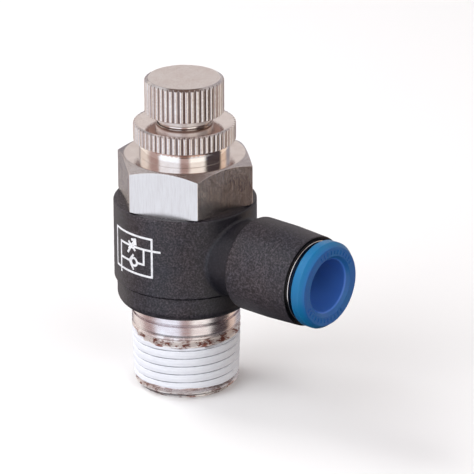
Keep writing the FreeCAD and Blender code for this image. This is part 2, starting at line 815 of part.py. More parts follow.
def release_ring():
    """Blue ring: pushed in, its slotted sleeve lifts the teeth off the tube."""
    body = new_body("release_ring")
    barb_front = d.bush_lip_back - 0.15
    mouth_depth = 0.5
    back_bevel = 0.2
    revolve(body, "Moulded", [
        (d.tube_bore_radius, d.release_nose),
        (d.tube_bore_radius + 0.4, d.release_nose),
        (d.release_sleeve_radius, d.release_nose + 1.0),
        (d.release_sleeve_radius, barb_front - 1.2),
        (d.release_barb_radius, barb_front - 0.5),
        (d.release_barb_radius, barb_front),
        (d.release_sleeve_radius, barb_front),
        (d.release_sleeve_radius, d.release_flange_back),
        (d.release_flange_radius - back_bevel, d.release_flange_back),
        (d.release_flange_radius, d.release_flange_back + back_bevel),
        (d.release_flange_radius, d.release_face),
        (d.release_mouth_radius, d.release_face),
        (d.tube_bore_radius, d.release_face - mouth_depth),
    ])
    fillet(body, "FaceRound",
           [(d.release_flange_radius, Vector(0, 0, d.release_face.value))],
           d.release_round)
    sketch = new_sketch(body, "SlotOutline", "XY_Plane", d.release_nose - 0.2)
    half_slot = 0.4
    turn = math.radians(d.slot_turn.value)
    cosine, sine = math.cos(turn), math.sin(turn)
    inner, outer = d.tube_bore_radius - 1.0, d.release_barb_radius + 0.5
    draw_outline(sketch, [
        (inner * cosine + half_slot * sine, inner * sine - half_slot * cosine),
        (outer * cosine + half_slot * sine, outer * sine - half_slot * cosine),
        (outer * cosine - half_slot * sine, outer * sine + half_slot * cosine),
        (inner * cosine - half_slot * sine, inner * sine + half_slot * cosine),
    ])
    slot = pocket(body, "Slot", sketch, as_size(3.5))
    pattern_round(body, "Slots", slot, sketch, "N_Axis", as_size(4))
    set_along_port(body)
    return body


# ---------------------------------------------------------------- assembly

PIECES = [
    hollow_bolt(),
    thread_sealant(),
    needle_guide(),
    seat_ring(),
    split_ring("retaining_ring", d.clip_groove_radius + 0.02, d.clip_recess_radius - 0.2,
               d.clip_groove_bottom + 0.03, d.clip_groove_top - 0.03, 24),
    split_ring("lip_seal_clip", d.check_shank_radius + 0.02, d.check_shank_radius + 0.8,
               d.flange_bottom - 1.8, d.flange_bottom - 1.5, 30),
    check_lip_seal(),
    rubber_ring("upper_body_o_ring", d.upper_ring_centre, d.upper_ring_section,
                d.upper_ring_height),
    rubber_ring("lower_body_o_ring", d.lower_ring_centre, d.lower_ring_section,
                d.lower_ring_height),
    rubber_ring("guide_o_ring", d.guide_ring_centre, d.guide_ring_section,
                d.guide_ring_height),
    rubber_ring("spindle_o_ring", d.spindle_ring_centre, d.spindle_ring_section,
                d.spindle_ring_height),
    needle_spindle(),
    knurled_knob(),
    lock_nut(),
    swivel_body(),
    tube_seal(),
    seal_support_ring(),
    grip_ring(),
    cartridge_bush(),
    release_ring(),
]

doc.recompute()

for obj in doc.Objects:
    if "Invalid" in obj.State or "Error" in obj.State:
        raise RuntimeError("%s failed: %s" % (obj.Label, obj.State))
os.makedirs("parts", exist_ok=True)
for piece in PIECES:
    shape = piece.Shape
    if shape.isNull() or not shape.isValid() or len(shape.Solids) != 1:
        raise RuntimeError("%s is not one valid solid" % piece.Label)
for piece in PIECES:
    piece.Shape.exportStep("parts/%s.step" % piece.Label)
    print("%-20s %9.2f mm3" % (piece.Label, piece.Shape.Volume))
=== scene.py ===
"""Looks of the elbow flow control valve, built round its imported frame.

The pieces that show are meshed here in millimetres and stored in metres, in the frame
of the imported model: +Z up the bolt, +X out along the tube port.
"""
import math

import bmesh
import bpy
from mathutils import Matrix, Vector, noise


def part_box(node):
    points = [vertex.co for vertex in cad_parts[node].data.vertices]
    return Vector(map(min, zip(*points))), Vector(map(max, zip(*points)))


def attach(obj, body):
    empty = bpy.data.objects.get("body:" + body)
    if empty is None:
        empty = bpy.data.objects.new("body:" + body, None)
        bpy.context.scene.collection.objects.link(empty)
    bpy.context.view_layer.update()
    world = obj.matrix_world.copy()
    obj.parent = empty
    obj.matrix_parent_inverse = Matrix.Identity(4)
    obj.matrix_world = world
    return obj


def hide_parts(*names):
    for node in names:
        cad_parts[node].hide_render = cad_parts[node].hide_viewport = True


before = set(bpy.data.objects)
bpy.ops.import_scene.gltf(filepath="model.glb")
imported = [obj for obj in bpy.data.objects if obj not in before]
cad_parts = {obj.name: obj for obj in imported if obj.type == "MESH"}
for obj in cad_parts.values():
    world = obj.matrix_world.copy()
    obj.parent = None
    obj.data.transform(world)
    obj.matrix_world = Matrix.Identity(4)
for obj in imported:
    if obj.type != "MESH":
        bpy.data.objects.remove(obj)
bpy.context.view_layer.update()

MM = 0.001


def extent(node, axis):
    """Lowest and highest coordinate of a CAD node, in millimetres."""
    return [corner["xyz".index(axis)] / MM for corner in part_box(node)]


# ---- sizes

PORT_Z = sum(extent("release_ring", "z")) / 2

THREAD_PITCH = 1.337
THREAD_DEPTH = 0.856
THREAD_PHASE = -1.0             # height of the groove's centre at +X
THREAD_TOP = 10.4
GAUGE_RADIUS = 8.331            # crest radius at the gauge plane
GAUGE_HEIGHT = 6.4
TAPER = 1 / 32
TIP_RADIUS = 7.25
TIP_RISE = 0.9
NECK_RADIUS = 8.4
NECK_BOTTOM = 10.8
NECK_GROOVE = (12.15, 12.55)
NECK_GROOVE_RADIUS = 7.9
BORE_RADIUS = 5.0
HEX_FLATS = 19.0
HEX_CORNER = HEX_FLATS / math.sqrt(3)
HEX_TURN = 21.0                 # a corner's turn from +X, degrees
HEX_FACE = HEX_FLATS / 2 - 0.3  # radius of the round end faces
HEX_BOTTOM = 30.3
HEX_TOP = extent("needle_guide", "z")[0] + 11.4
HEX_CORNER_ROUND = 0.16

SHANK_STEPS = (                 # radius, lower and upper end
    (7.7, 13.85, 14.75),        # groove of the retaining ring
    (8.45, 14.75, 15.1),
    (7.41, 15.1, 16.3),         # groove of the lower O-ring
    (8.45, 16.3, 16.5),
    (7.1, 16.5, 19.9),          # lip seal, clip and small holes
    (8.3, 19.9, 20.3),
    (6.9, 20.3, 26.9),          # large holes
    (9.1, 26.9, 27.9),
    (7.86, 27.9, 29.3),         # groove of the upper O-ring
    (9.1, 29.3, HEX_BOTTOM),
)
RIB_RADIUS, RIB_BOTTOM, RIB_TOP = 4.4, 20.5, 21.1     # above the seat ring
GUIDE_RADIUS, GUIDE_BOTTOM = 6.0, 26.4
AIR_HOLES = ((6, 23.6, 1.5), (8, 17.31, 0.7))   # count, height and radius of each row

COLLAR_TOP = extent("needle_guide", "z")[1]
COLLAR_RADIUS = extent("needle_guide", "x")[1]
COLLAR_BEVEL = (0.4, 0.7)       # across and along
GUIDE_BORE_RADIUS = 4.5
GUIDE_THREAD_RADIUS, GUIDE_THREAD_BOTTOM = 4.06, 33.5
GUIDE_GROOVE = (5.06, 30.55, 31.75)     # radius, lower and upper end

NUT_BOTTOM, NUT_TOP = extent("lock_nut", "z")
KNOB_SHOULDER, KNOB_TOP = extent("knurled_knob", "z")
KNOB_BOTTOM = 44.37
KNOB_BOSS_RADIUS = 4.4
KNURL_DEPTH = 0.36
NUT_RADIUS, NUT_FACE, NUT_BEVEL, NUT_RIDGES = 7.84, 7.3, 0.16, 56
KNOB_RADIUS, KNOB_FACE, KNOB_BEVEL, KNOB_RIDGES = 6.07, 5.5, 0.35, 44

RING_RADIUS, RING_LOW_RADIUS = 11.0, 10.56
RING_BOTTOM, RING_TOP = extent("swivel_body", "z")
RING_STEP = 18.0
STEP_GROOVE = (0.22, 0.18)      # depth and height of the groove under the step
BARREL_FRONT = extent("swivel_body", "x")[1]
BARREL_BACK = 13.9
BARREL_STRAIGHT = 19.5
BARREL_RADIUS, BARREL_FRONT_RADIUS = 7.24, 6.95
BOSS_RADIUS = 6.0
BOSS_FILLET = 0.55
TUBE_RADIUS = 4.1
CARTRIDGE_RADIUS = 6.0

BUSH_BACK, BUSH_FACE = extent("cartridge_bush", "x")
BUSH_RADIUS, BUSH_BORE_RADIUS, BUSH_LIP_RADIUS = 6.35, 5.4, 5.15
RELEASE_NOSE, RELEASE_FACE = extent("release_ring", "x")
RELEASE_RADIUS = extent("release_ring", "z")[1] - PORT_Z
RELEASE_BACK = RELEASE_FACE - 2.25
SLEEVE_RADIUS, BARB_RADIUS, BARB_END = 4.95, 5.3, 24.45
SLOT_ANGLES = (17, 107)         # each crosses the whole sleeve
SLOT_LENGTH, SLOT_REACH = 2.2, 7.0
SLOT_HALF_WIDTH = 0.4

CAMERA_TURN = 40.417            # from -Y towards +X, degrees
CAMERA_RISE = 22.255
CAMERA_DISTANCE = 0.5785
CAMERA_ROLL = -0.175
CAMERA_LENS = 285.7
CAMERA_AIM = (7.923, 23.758)    # to the right of the bolt's axis, and up it


# ---- mesh helpers

def rounded(corners, steps=4, hold=0.14):
    """A closed outline with rounded corners, each given as (across, along, round).

    Each arc has a point a little before and after it, which keeps the flats flat.
    """
    points = []
    count = len(corners)
    for number, (across, along, size) in enumerate(corners):
        here = Vector((across, along))
        if size == 0:
            points.append(here)
            continue
        before = Vector(corners[number - 1][:2]) - here
        after = Vector(corners[(number + 1) % count][:2]) - here
        half = before.angle(after) / 2
        reach = min(size / math.tan(half), 0.42 * before.length, 0.42 * after.length)
        size = reach * math.tan(half)
        centre = here + (before.normalized() + after.normalized()).normalized() * (
            size / math.sin(half))
        start = here + before.normalized() * reach
        end = here + after.normalized() * reach
        points.append(start + before.normalized() * min(hold, 0.05 * before.length))
        turn = (start - centre).angle(end - centre)
        for step in range(steps + 1):
            share = step / steps
            arm = (start - centre) * math.sin((1 - share) * turn)
            arm += (end - centre) * math.sin(share * turn)
            points.append(centre + arm / math.sin(turn))
        points.append(end + after.normalized() * min(hold, 0.05 * after.length))
    return [tuple(point) for point in points]


def stepped(*spans):
    """Square corners of a stepped outline, from spans of (radius, start, end)."""
    return [(radius, end, 0) for radius, *ends in spans for end in ends]


def up_axis(radius, angle, along):
    """A point round the bolt's axis."""
    turn = math.radians(angle)
    return Vector((radius * math.cos(turn), radius * math.sin(turn), along))


def port_axis(radius, angle, along):
    """A point round the port's axis."""
    turn = math.radians(angle)
    return Vector((along, radius * math.cos(turn), PORT_Z + radius * math.sin(turn)))


def finished(name, bm, sharp=33):
    """The mesh of a closed skin: welded, facing outwards, smooth but for its edges."""
    bmesh.ops.remove_doubles(bm, verts=bm.verts, dist=0.0002 * MM)
    bmesh.ops.dissolve_degenerate(bm, edges=bm.edges, dist=0.0001 * MM)
    bmesh.ops.recalc_face_normals(bm, faces=bm.faces)
    mesh = bpy.data.meshes.new(name)
    bm.to_mesh(mesh)
    bm.free()
    mesh.polygons.foreach_set("use_smooth", [True] * len(mesh.polygons))
    mesh.set_sharp_from_angle(angle=math.radians(sharp))
    return mesh


def skin(name, angles, column, place=up_axis, spirals=()):
    """A closed skin through one closed column of (radius, along) points per angle.

    In a spiral span of rows, given as (first, last, shift), the last column joins the
    first one shifted by a turn.
    """
    bm = bmesh.new()
    grid = []
    for angle in angles:
        grid.append([bm.verts.new(place(r, angle, h) * MM) for r, h in column(angle)])
    count = len(grid[0])

    def joined(row):
        for first, last, shift in spirals:
            if first <= row <= last:
                return min(max(row + shift, first), last)
        return row

    for number, verts in enumerate(grid):
        wraps = number == len(grid) - 1
        beside = grid[(number + 1) % len(grid)]
        for row in range(count):
            after = (row + 1) % count
            far, near = (joined(after), joined(row)) if wraps else (after, row)
            corners = [verts[row], verts[after], beside[far], beside[near]]
            if len(set(corners)) > 2:
                bm.faces.new(list(dict.fromkeys(corners)))
    return finished(name, bm)


def around(count):
    return [360 * number / count for number in range(count)]


def turned(name, corners, count, place=up_axis, steps=4):
    """A turned or moulded ring: one rounded outline all the way round."""
    outline = rounded(corners, steps)
    return skin(name, around(count), lambda angle: outline, place)


def spiral_heights(angle, bottom, top, pitch, phase, per_turn, span=None):
    """Heights of the rows of a thread at one angle; they climb a pitch each turn.

    Where the ends wander round the thread, span holds their lowest and highest.
    """
    lowest, highest = span or (bottom, top)
    start = phase + pitch * math.floor((lowest - pitch - phase) / pitch)
    count = math.ceil((highest - start) / pitch * per_turn)
    heights = []
    for row in range(count + 1):
        height = start + pitch * (row / per_turn + angle / 360)
        heights.append(min(max(height, bottom), top))
    return heights


def off_groove(angle, height, pitch, phase):
    """Distance along the axis from the nearest groove centre of a thread."""
    turns = (height - phase) / pitch - angle / 360
    return abs(turns - round(turns)) * pitch


def linked(name, data):
    """A new object in the scene."""
    item = bpy.data.objects.new(name, data)
    bpy.context.scene.collection.objects.link(item)
    return item


def add(name, mesh, body, material, nodes=()):
    """Put a piece in the scene on its CAD body."""
    piece = linked(name, mesh)
    mesh.materials.clear()
    mesh.materials.append(material)
    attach(piece, body)
    if nodes:
        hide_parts(*nodes)


def combined(mesh, other, operation):
    """The mesh joined with another one or cut by it."""
    objects = [linked("working", data) for data in (mesh, other)]
    modifier = objects[0].modifiers.new("combine", "BOOLEAN")
    modifier.operation = operation
    modifier.solver = "EXACT"
    modifier.object = objects[1]
    bpy.context.view_layer.update()
    seen = objects[0].evaluated_get(bpy.context.evaluated_depsgraph_get())
    result = bpy.data.meshes.new_from_object(seen)
    for item in objects:
        bpy.data.objects.remove(item)
    bm = bmesh.new()
    bm.from_mesh(result)
    return finished(mesh.name, bm)


def bridge(bm, one, two):
    """Faces between two closed loops with as many corners."""
    for number in range(len(one)):
        after = (number + 1) % len(one)
        bm.faces.new([one[number], one[after], two[after], two[number]])


def add_prism(bm, *ends):
    """A closed body between two loops of points."""
    loops = [[bm.verts.new(point * MM) for point in end] for end in ends]
    bridge(bm, *loops)
    for loop in loops:
        bm.faces.new(loop)


def add_rod(bm, start, end, radius, count):
    """A plain round cutter from start to end."""
    line = end - start
    turn = line.to_track_quat("Z", "Y")
    add_prism(bm, *([start + turn @ up_axis(radius, angle, along) for angle in around(count)]
                    for along in (0.0, line.length)))


# ---- materials

def new_material(name, colour, roughness, metallic=0.0):
    material = bpy.data.materials.new(name)
    material.use_nodes = True
    shader = material.node_tree.nodes["Principled BSDF"]
    shader.inputs["Base Color"].default_value = (*colour, 1)
    shader.inputs["Roughness"].default_value = roughness
    shader.inputs["Metallic"].default_value = metallic
    return material, shader, Nodes(material)


class Nodes:
    """Short calls that add shader nodes to one material or world."""

    def __init__(self, owner):
        self.tree = owner.node_tree

    def new(self, kind, **settings):
        node = self.tree.nodes.new("ShaderNode" + kind)
        for name, value in settings.items():
            setattr(node, name, value)
        return node

    def feed(self, node, socket, value):
        if isinstance(value, bpy.types.NodeSocket):
            self.tree.links.new(value, node.inputs[socket])
        else:
            node.inputs[socket].default_value = value

    def place(self, stretch=(1, 1, 1)):
        """Position on the object, in millimetres, stretched along each axis."""
        coordinates = self.new("TexCoord")
        mapping = self.new("Mapping")
        self.feed(mapping, "Vector", coordinates.outputs["Object"])
        mapping.inputs["Scale"].default_value = [s / MM for s in stretch]
        return mapping.outputs["Vector"]

    def noise(self, vector, per_mm, detail=3.0, rough=0.55):
        node = self.new("TexNoise")
        self.feed(node, "Vector", vector)
        self.feed(node, "Scale", per_mm)
        self.feed(node, "Detail", detail)
        self.feed(node, "Roughness", rough)
        return node.outputs["Fac"]

    def maths(self, operation, first, second=0.0, clamp=False):
        node = self.new("Math", operation=operation, use_clamp=clamp)
        self.feed(node, 0, first)
        self.feed(node, 1, second)
        return node.outputs[0]

    def times(self, first, second):
        return self.maths("MULTIPLY", first, second)

    def spread(self, value, start, end, to_start=0.0, to_end=1.0, smooth=False):
        node = self.new("MapRange")
        node.interpolation_type = "SMOOTHSTEP" if smooth else "LINEAR"
        self.feed(node, "Value", value)
        for socket, number in zip(("From Min", "From Max", "To Min", "To Max"),
                                  (start, end, to_start, to_end)):
            self.feed(node, socket, number)
        return node.outputs["Result"]

    def blend(self, share, first, second):
        node = self.new("Mix", data_type="RGBA")
        self.feed(node, 0, share)
        for socket, colour in ((6, first), (7, second)):
            if isinstance(colour, bpy.types.NodeSocket):
                self.feed(node, socket, colour)
            else:
                self.feed(node, socket, (*colour, 1))
        return node.outputs[2]

    def choose(self, share, first, second):
        """Like blend, for plain numbers."""
        node = self.new("Mix", data_type="FLOAT")
        self.feed(node, 0, share)
        self.feed(node, 2, first)
        self.feed(node, 3, second)
        return node.outputs[0]

    def hypotenuse(self, one, two):
        squares = [self.times(side, side) for side in (one, two)]
        return self.maths("SQRT", self.maths("ADD", *squares))

    def facing(self):
        """The surface's own direction, as x, y and z."""
        return self.parts(self.new("TexCoord").outputs["Normal"])

    def bump(self, height, strength, distance_mm, under=None):
        node = self.new("Bump")
        self.feed(node, "Strength", strength)
        self.feed(node, "Distance", distance_mm * MM)
        self.feed(node, "Height", height)
        if under is not None:
            self.feed(node, "Normal", under)
        return node.outputs["Normal"]

    def parts(self, vector):
        node = self.new("SeparateXYZ")
        self.feed(node, 0, vector)
        return node.outputs

    def round_position(self, turn_scale, along_scale):
        """Position as (turn, radius, along) round the bolt, for turning marks."""
        x, y, z = self.parts(self.place())
        turn = self.maths("ARCTAN2", y, x)
        node = self.new("CombineXYZ")
        self.feed(node, 0, self.times(turn, turn_scale))
        self.feed(node, 1, self.times(self.hypotenuse(x, y), along_scale))
        self.feed(node, 2, self.times(z, along_scale))
        return node.outputs[0]


NICKEL = (0.83, 0.78, 0.755)
NICKEL_SHADE = (0.75, 0.68, 0.65)


def turned_nickel(name, roughness, marks=0.25, tint=NICKEL, shade=NICKEL_SHADE):
    """Nickel plate over turned brass: fine turning marks and a warm, cloudy tint."""
    material, shader, nodes = new_material(name, tint, roughness, 1.0)
    cloud = nodes.noise(nodes.place(), 0.45, 4)
    nodes.feed(shader, "Base Color", nodes.blend(nodes.spread(cloud, 0.35, 0.7), tint, shade))
    lines = nodes.noise(nodes.round_position(0.6, 1.0), 9.0, 2)
    nodes.feed(shader, "Roughness", nodes.spread(
        lines, 0.3, 0.7, roughness * 0.75, roughness * 1.3))
    grain = nodes.noise(nodes.place(), 14.0, 2)
    under = nodes.bump(grain, 0.12, 0.02)
    nodes.feed(shader, "Normal", nodes.bump(lines, marks, 0.01, under))
    return material


def knurled_nickel(name, radius, tops):
    """Worn plate with painted shade in the knurl's grooves and a painted browner shade on faces that
    look down.

    radius is the knurl's outer radius and tops the roughness of the flat faces.
    """
    material = turned_nickel(name, 0.2, 0.3, (0.90, 0.86, 0.84), (0.82, 0.75, 0.72))
    shader = material.node_tree.nodes["Principled BSDF"]
    nodes = Nodes(material)
    x, y, z = nodes.parts(nodes.place())
    depth = nodes.maths("SUBTRACT", radius, nodes.hypotenuse(x, y))
    upright = nodes.facing()[2]
    tilt = nodes.maths("ABSOLUTE", upright)
    # painted shade: the knurl's grooves darken with depth, on the flanks only
    groove = nodes.times(nodes.spread(depth, 0.07, 0.24), nodes.spread(tilt, 0.6, 0.3))
    groove = nodes.times(groove, nodes.spread(depth, 0.9, 0.6))
    colour = shader.inputs["Base Color"].links[0].from_socket
    shaded_and_specked = nodes.blend(nodes.times(groove, 0.72), colour, (0.24, 0.165, 0.15))
    # painted shade: faces that look down are tinted browner
    under = nodes.spread(upright, -0.3, -0.8, 0.0, 0.92)
    specks = nodes.spread(nodes.noise(nodes.place(), 6.5, 4, 0.75), 0.48, 0.68, 0.0, 0.8)
    shaded_and_specked = nodes.blend(specks, shaded_and_specked, (0.55, 0.44, 0.41))
    nodes.feed(shader, "Base Color", nodes.blend(under, shaded_and_specked, (0.60, 0.40, 0.33)))
    rough = shader.inputs["Roughness"].links[0].from_socket
    nodes.feed(shader, "Roughness", nodes.choose(nodes.spread(tilt, 0.9, 0.98), rough, tops))
    boss = nodes.times(nodes.spread(depth, 1.2, 1.4),
                       nodes.spread(z, KNOB_BOTTOM + 0.1, KNOB_BOTTOM))
    boss = nodes.times(boss, nodes.spread(z, NUT_TOP + 0.05, NUT_TOP + 0.1))
    nodes.feed(shader, "Metallic", nodes.spread(boss, 0, 1, 1.0, 0.3))
    return material


def bolt_nickel():
    """The bolt's plate: drawn streaks on the hexagon, stains on the upper turns.

    One of the hexagon's faces is rougher than the others, and painted cooler and a little darker for
    how it is lit.
    """
    material, shader, nodes = new_material("bolt_nickel", NICKEL, 0.2, 1.0)
    z = nodes.parts(nodes.place())[2]
    on_head = nodes.spread(z, HEX_BOTTOM - 1, HEX_BOTTOM)
    top_face = nodes.spread(z, HEX_TOP - 0.06, HEX_TOP - 0.02)
    streaks = nodes.noise(nodes.place((1, 1, 0.06)), 6.5, 4, 0.75)
    lines = nodes.noise(nodes.round_position(0.6, 1.0), 8.0, 2)
    cloud = nodes.noise(nodes.place(), 0.5, 4)
    colour = nodes.blend(nodes.spread(cloud, 0.35, 0.7), NICKEL, NICKEL_SHADE)
    neck = nodes.blend(nodes.spread(cloud, 0.35, 0.7), (0.90, 0.86, 0.88), (0.74, 0.65, 0.67))
    colour = nodes.blend(nodes.spread(z, 15.0, 16.0), neck, colour)
    on_sides = nodes.times(on_head, nodes.spread(top_face, 0.0, 1.0, 1.0, 0.2))
    dark_streak = nodes.times(nodes.spread(streaks, 0.45, 0.75), on_sides)
    facing = nodes.facing()
    front = math.radians(HEX_TURN - 90)
    towards = nodes.maths("ADD", nodes.times(facing[0], math.cos(front)),
                          nodes.times(facing[1], math.sin(front)))
    rough_painted_face = nodes.spread(towards, 0.85, 0.97)
    drawn = nodes.spread(rough_painted_face, 0.0, 1.0, 0.85, 0.22)
    # painted light: the front face is tinted cooler and a little darker for how it is lit
    colour = nodes.blend(nodes.times(rough_painted_face, on_head), colour, (0.80, 0.765, 0.75))
    colour = nodes.blend(nodes.times(dark_streak, drawn), colour, (0.40, 0.31, 0.29))
    stains = nodes.noise(nodes.place((1, 1, 2.4)), 0.6, 5, 0.65)
    fine = nodes.noise(nodes.place((1, 1, 3.5)), 1.8, 4, 0.6)
    zone = nodes.times(nodes.spread(z, 7.4, 8.6), nodes.spread(z, 10.9, 9.6))
    low_zone = nodes.spread(z, 2.2, 0.8)
    zone = nodes.maths("MAXIMUM", zone, low_zone)
    mixed = nodes.maths("ADD", stains, nodes.times(fine, 0.5))
    spots = nodes.spread(mixed, 0.72, 0.86, smooth=True)
    stained = nodes.times(spots, zone)
    cream = nodes.blend(nodes.times(zone, 0.6), colour, (0.93, 0.89, 0.83))
    colour = nodes.blend(stained, cream, (0.25, 0.095, 0.07))
    nodes.feed(shader, "Base Color", colour)
    nodes.feed(shader, "Metallic", nodes.spread(zone, 0.0, 1.0, 1.0, 0.6))
    brushed = nodes.times(rough_painted_face, 0.14)
    rough_head = nodes.maths("ADD", nodes.spread(streaks, 0.3, 0.75, 0.14, 0.27), brushed)
    rough_neck = nodes.spread(lines, 0.3, 0.7, 0.2, 0.33)
    rough = nodes.choose(on_head, rough_neck, rough_head)
    satin = nodes.maths("MAXIMUM", rough, nodes.times(zone, 0.33))
    satin = nodes.maths("MINIMUM", satin, nodes.spread(top_face, 0.0, 1.0, 1.0, 0.1))
    nodes.feed(shader, "Roughness", satin)
    grain = nodes.noise(nodes.place(), 12.0, 2)
    under = nodes.bump(grain, 0.12, 0.02)
    sides = nodes.times(on_sides, nodes.spread(rough_painted_face, 0, 1, 1.0, 0.35))
    under = nodes.bump(nodes.times(streaks, sides), 0.75, 0.06, under)
    nodes.feed(shader, "Normal", nodes.bump(lines, 0.2, 0.01, under))
    return material


def coat_material():
    """Dry white sealing coat: chalky, brushed on, with a grey line along each groove that is partly
    thin coat and partly painted shade in the groove.
    """
    white, grey = (0.84, 0.86, 0.91), (0.26, 0.27, 0.30)
    material, shader, nodes = new_material("sealing_coat", white, 0.6)
    x, y, z = nodes.parts(nodes.place())
    turn = nodes.maths("DIVIDE", nodes.maths("ARCTAN2", y, x), 2 * math.pi)
    climbs = nodes.maths("DIVIDE", nodes.maths("SUBTRACT", z, THREAD_PHASE), THREAD_PITCH)
    phase = nodes.maths("SUBTRACT", climbs, turn)
    off = nodes.maths("ABSOLUTE", nodes.maths("SUBTRACT", phase, nodes.maths("ROUND", phase)))
    # the grey groove line: partly where the coat is thin, partly painted shade in the groove
    thin = nodes.noise(nodes.place((1, 1, 0.3)), 0.35, 3)
    reach = nodes.spread(thin, 0.36, 0.62, 0.02, 0.095)
    line = nodes.maths("SUBTRACT", 1.0, nodes.maths("DIVIDE", off, reach), clamp=True)
    cloud = nodes.noise(nodes.place((1, 1, 2)), 0.9, 5)
    body = nodes.blend(nodes.spread(cloud, 0.3, 0.7), white, (0.78, 0.80, 0.86))
    nodes.feed(shader, "Base Color", nodes.blend(line, body, grey))
    nodes.feed(shader, "Roughness", nodes.spread(cloud, 0.3, 0.7, 0.5, 0.72))
    chalk = nodes.noise(nodes.place((1, 1, 2.5)), 5.0, 4)
    nodes.feed(shader, "Normal", nodes.bump(chalk, 0.3, 0.03))
    return material


def body_plastic():
    """Grainy black plastic, smoother on the ring's top and the barrel's end, with painted shade on
    the barrel's end face and round the boss.
    """
    material, shader, nodes = new_material("black_plastic", (0.02, 0.018, 0.022), 0.45)
    grain = nodes.noise(nodes.place(), 3.4, 4, 0.7)
    cloud = nodes.noise(nodes.place(), 0.16, 3)
    dark = nodes.blend(nodes.spread(cloud, 0.35, 0.65), (0.007, 0.007, 0.011), (0.013, 0.010, 0.012))
    light = nodes.blend(nodes.spread(cloud, 0.35, 0.65), (0.070, 0.063, 0.080), (0.100, 0.080, 0.092))
    mottled = nodes.blend(nodes.spread(grain, 0.44, 0.69), dark, light)
    x, _, z = nodes.parts(nodes.place())
    # painted shade: the barrel's end face is made near black
    end = nodes.spread(x, BARREL_FRONT - 0.12, BARREL_FRONT - 0.04)
    # painted shade: darker between the ring and the barrel, round the boss
    boss_shade = nodes.times(nodes.spread(x, BARREL_BACK + 0.5, BARREL_BACK - 0.1),
                        nodes.spread(x, 8.4, 10.4, 0.0, 0.75, smooth=True))
    mottled = nodes.blend(boss_shade, mottled, (0.004, 0.004, 0.008))
    nodes.feed(shader, "Base Color", nodes.blend(end, mottled, (0.004, 0.004, 0.005)))
    on_ring_only = nodes.spread(x, RING_RADIUS + 0.3, RING_RADIUS)
    top = nodes.times(nodes.spread(z, RING_TOP - 0.05, RING_TOP - 0.01), on_ring_only)
    top = nodes.maths("MAXIMUM", end, top)
    rough = nodes.spread(grain, 0.3, 0.7, 0.38, 0.58)
    nodes.feed(shader, "Roughness", nodes.maths("MINIMUM", rough, nodes.spread(top, 0, 1, 1, 0.22)))
    nodes.feed(shader, "Specular IOR Level", nodes.spread(top, 0, 1, 0.55, 0.2))
    fine = nodes.noise(nodes.place(), 9.0, 2)
    nodes.feed(shader, "Normal", nodes.bump(fine, 0.25, 0.02, nodes.bump(grain, 0.5, 0.06)))
    return material


def blue_plastic():
    """Smooth blue plastic: a painted sheen makes the rim greener, painted light makes the bore
    lighter and more violet, and painted shade darkens the sleeve behind the flange.
    """
    material, shader, nodes = new_material("blue_plastic", (0.012, 0.15, 0.45), 0.32)
    x, y, z = nodes.parts(nodes.place())
    radius = nodes.hypotenuse(y, nodes.maths("SUBTRACT", z, PORT_Z))
    cloud = nodes.noise(nodes.place(), 0.3, 3)
    face = nodes.blend(nodes.spread(cloud, 0.35, 0.65), (0.010, 0.125, 0.35), (0.018, 0.105, 0.36))
    # painted sheen: the rim is tinted greener
    rim = nodes.spread(radius, RELEASE_RADIUS - 0.8, RELEASE_RADIUS - 0.15, smooth=True)
    colour = nodes.blend(rim, face, (0.004, 0.15, 0.345))
    # painted light: the bore is made lighter and more violet to offset its shade
    bore = nodes.spread(radius, TUBE_RADIUS + 0.25, TUBE_RADIUS + 0.1)
    colour = nodes.blend(bore, colour, (0.06, 0.185, 0.60))
    # painted shade: the sleeve and back face in the gap behind the flange are made near black
    back = nodes.times(nodes.spread(x, RELEASE_BACK + 0.06, RELEASE_BACK),
                       nodes.spread(radius, TUBE_RADIUS + 0.3, TUBE_RADIUS + 0.5))
    nodes.feed(shader, "Base Color", nodes.blend(back, colour, (0.003, 0.02, 0.06)))
    fine = nodes.noise(nodes.place(), 3.0, 3)
    nodes.feed(shader, "Roughness", nodes.spread(fine, 0.3, 0.7, 0.28, 0.42))
    nodes.feed(shader, "Normal", nodes.bump(fine, 0.08, 0.02))
    shader.inputs["Subsurface Weight"].default_value = 0.15
    shader.inputs["Subsurface Radius"].default_value = (0.0003, 0.0006, 0.0014)
    return material


def plain(name, colour, roughness, metallic=0.0, per_mm=3.0, depth=0.15):
    """A material with a slight cloud in its colour, roughness and surface."""
    material, shader, nodes = new_material(name, colour, roughness, metallic)
    cloud = nodes.noise(nodes.place(), per_mm, 4)
    darker = tuple(0.72 * channel for channel in colour)
    nodes.feed(shader, "Base Color", nodes.blend(nodes.spread(cloud, 0.35, 0.7), colour, darker))
    nodes.feed(shader, "Roughness", nodes.spread(cloud, 0.3, 0.7, roughness * 0.8, roughness * 1.2))
    nodes.feed(shader, "Normal", nodes.bump(cloud, depth, 0.03))
    return material


KNOB_METAL = knurled_nickel("knob_nickel", KNOB_RADIUS, 0.28)
NUT_METAL = knurled_nickel("nut_nickel", NUT_RADIUS, 0.1)
POLISHED = turned_nickel("polished_nickel", 0.1, 0.12, (0.95, 0.92, 0.905), (0.90, 0.83, 0.78))
BOLT = bolt_nickel()
COAT = coat_material()
BLACK = body_plastic()
BLUE = blue_plastic()
BRASS = plain("turned_brass", (0.50, 0.39, 0.28), 0.25, 1.0, 6.0)
ACETAL = plain("natural_acetal", (0.78, 0.77, 0.71), 0.45)
RUBBER = plain("black_rubber", (0.022, 0.022, 0.024), 0.6, 0.0, 2.0, 0.3)
STEEL = plain("spring_steel", (0.52, 0.52, 0.53), 0.3, 1.0, 5.0)
PRINT = plain("white_print", (0.90, 0.91, 0.94), 0.5, 0.0, 1.5, 0.1)


# ---- the bolt

def crest_radius(height):
    return GAUGE_RADIUS + (height - GAUGE_HEIGHT) * TAPER


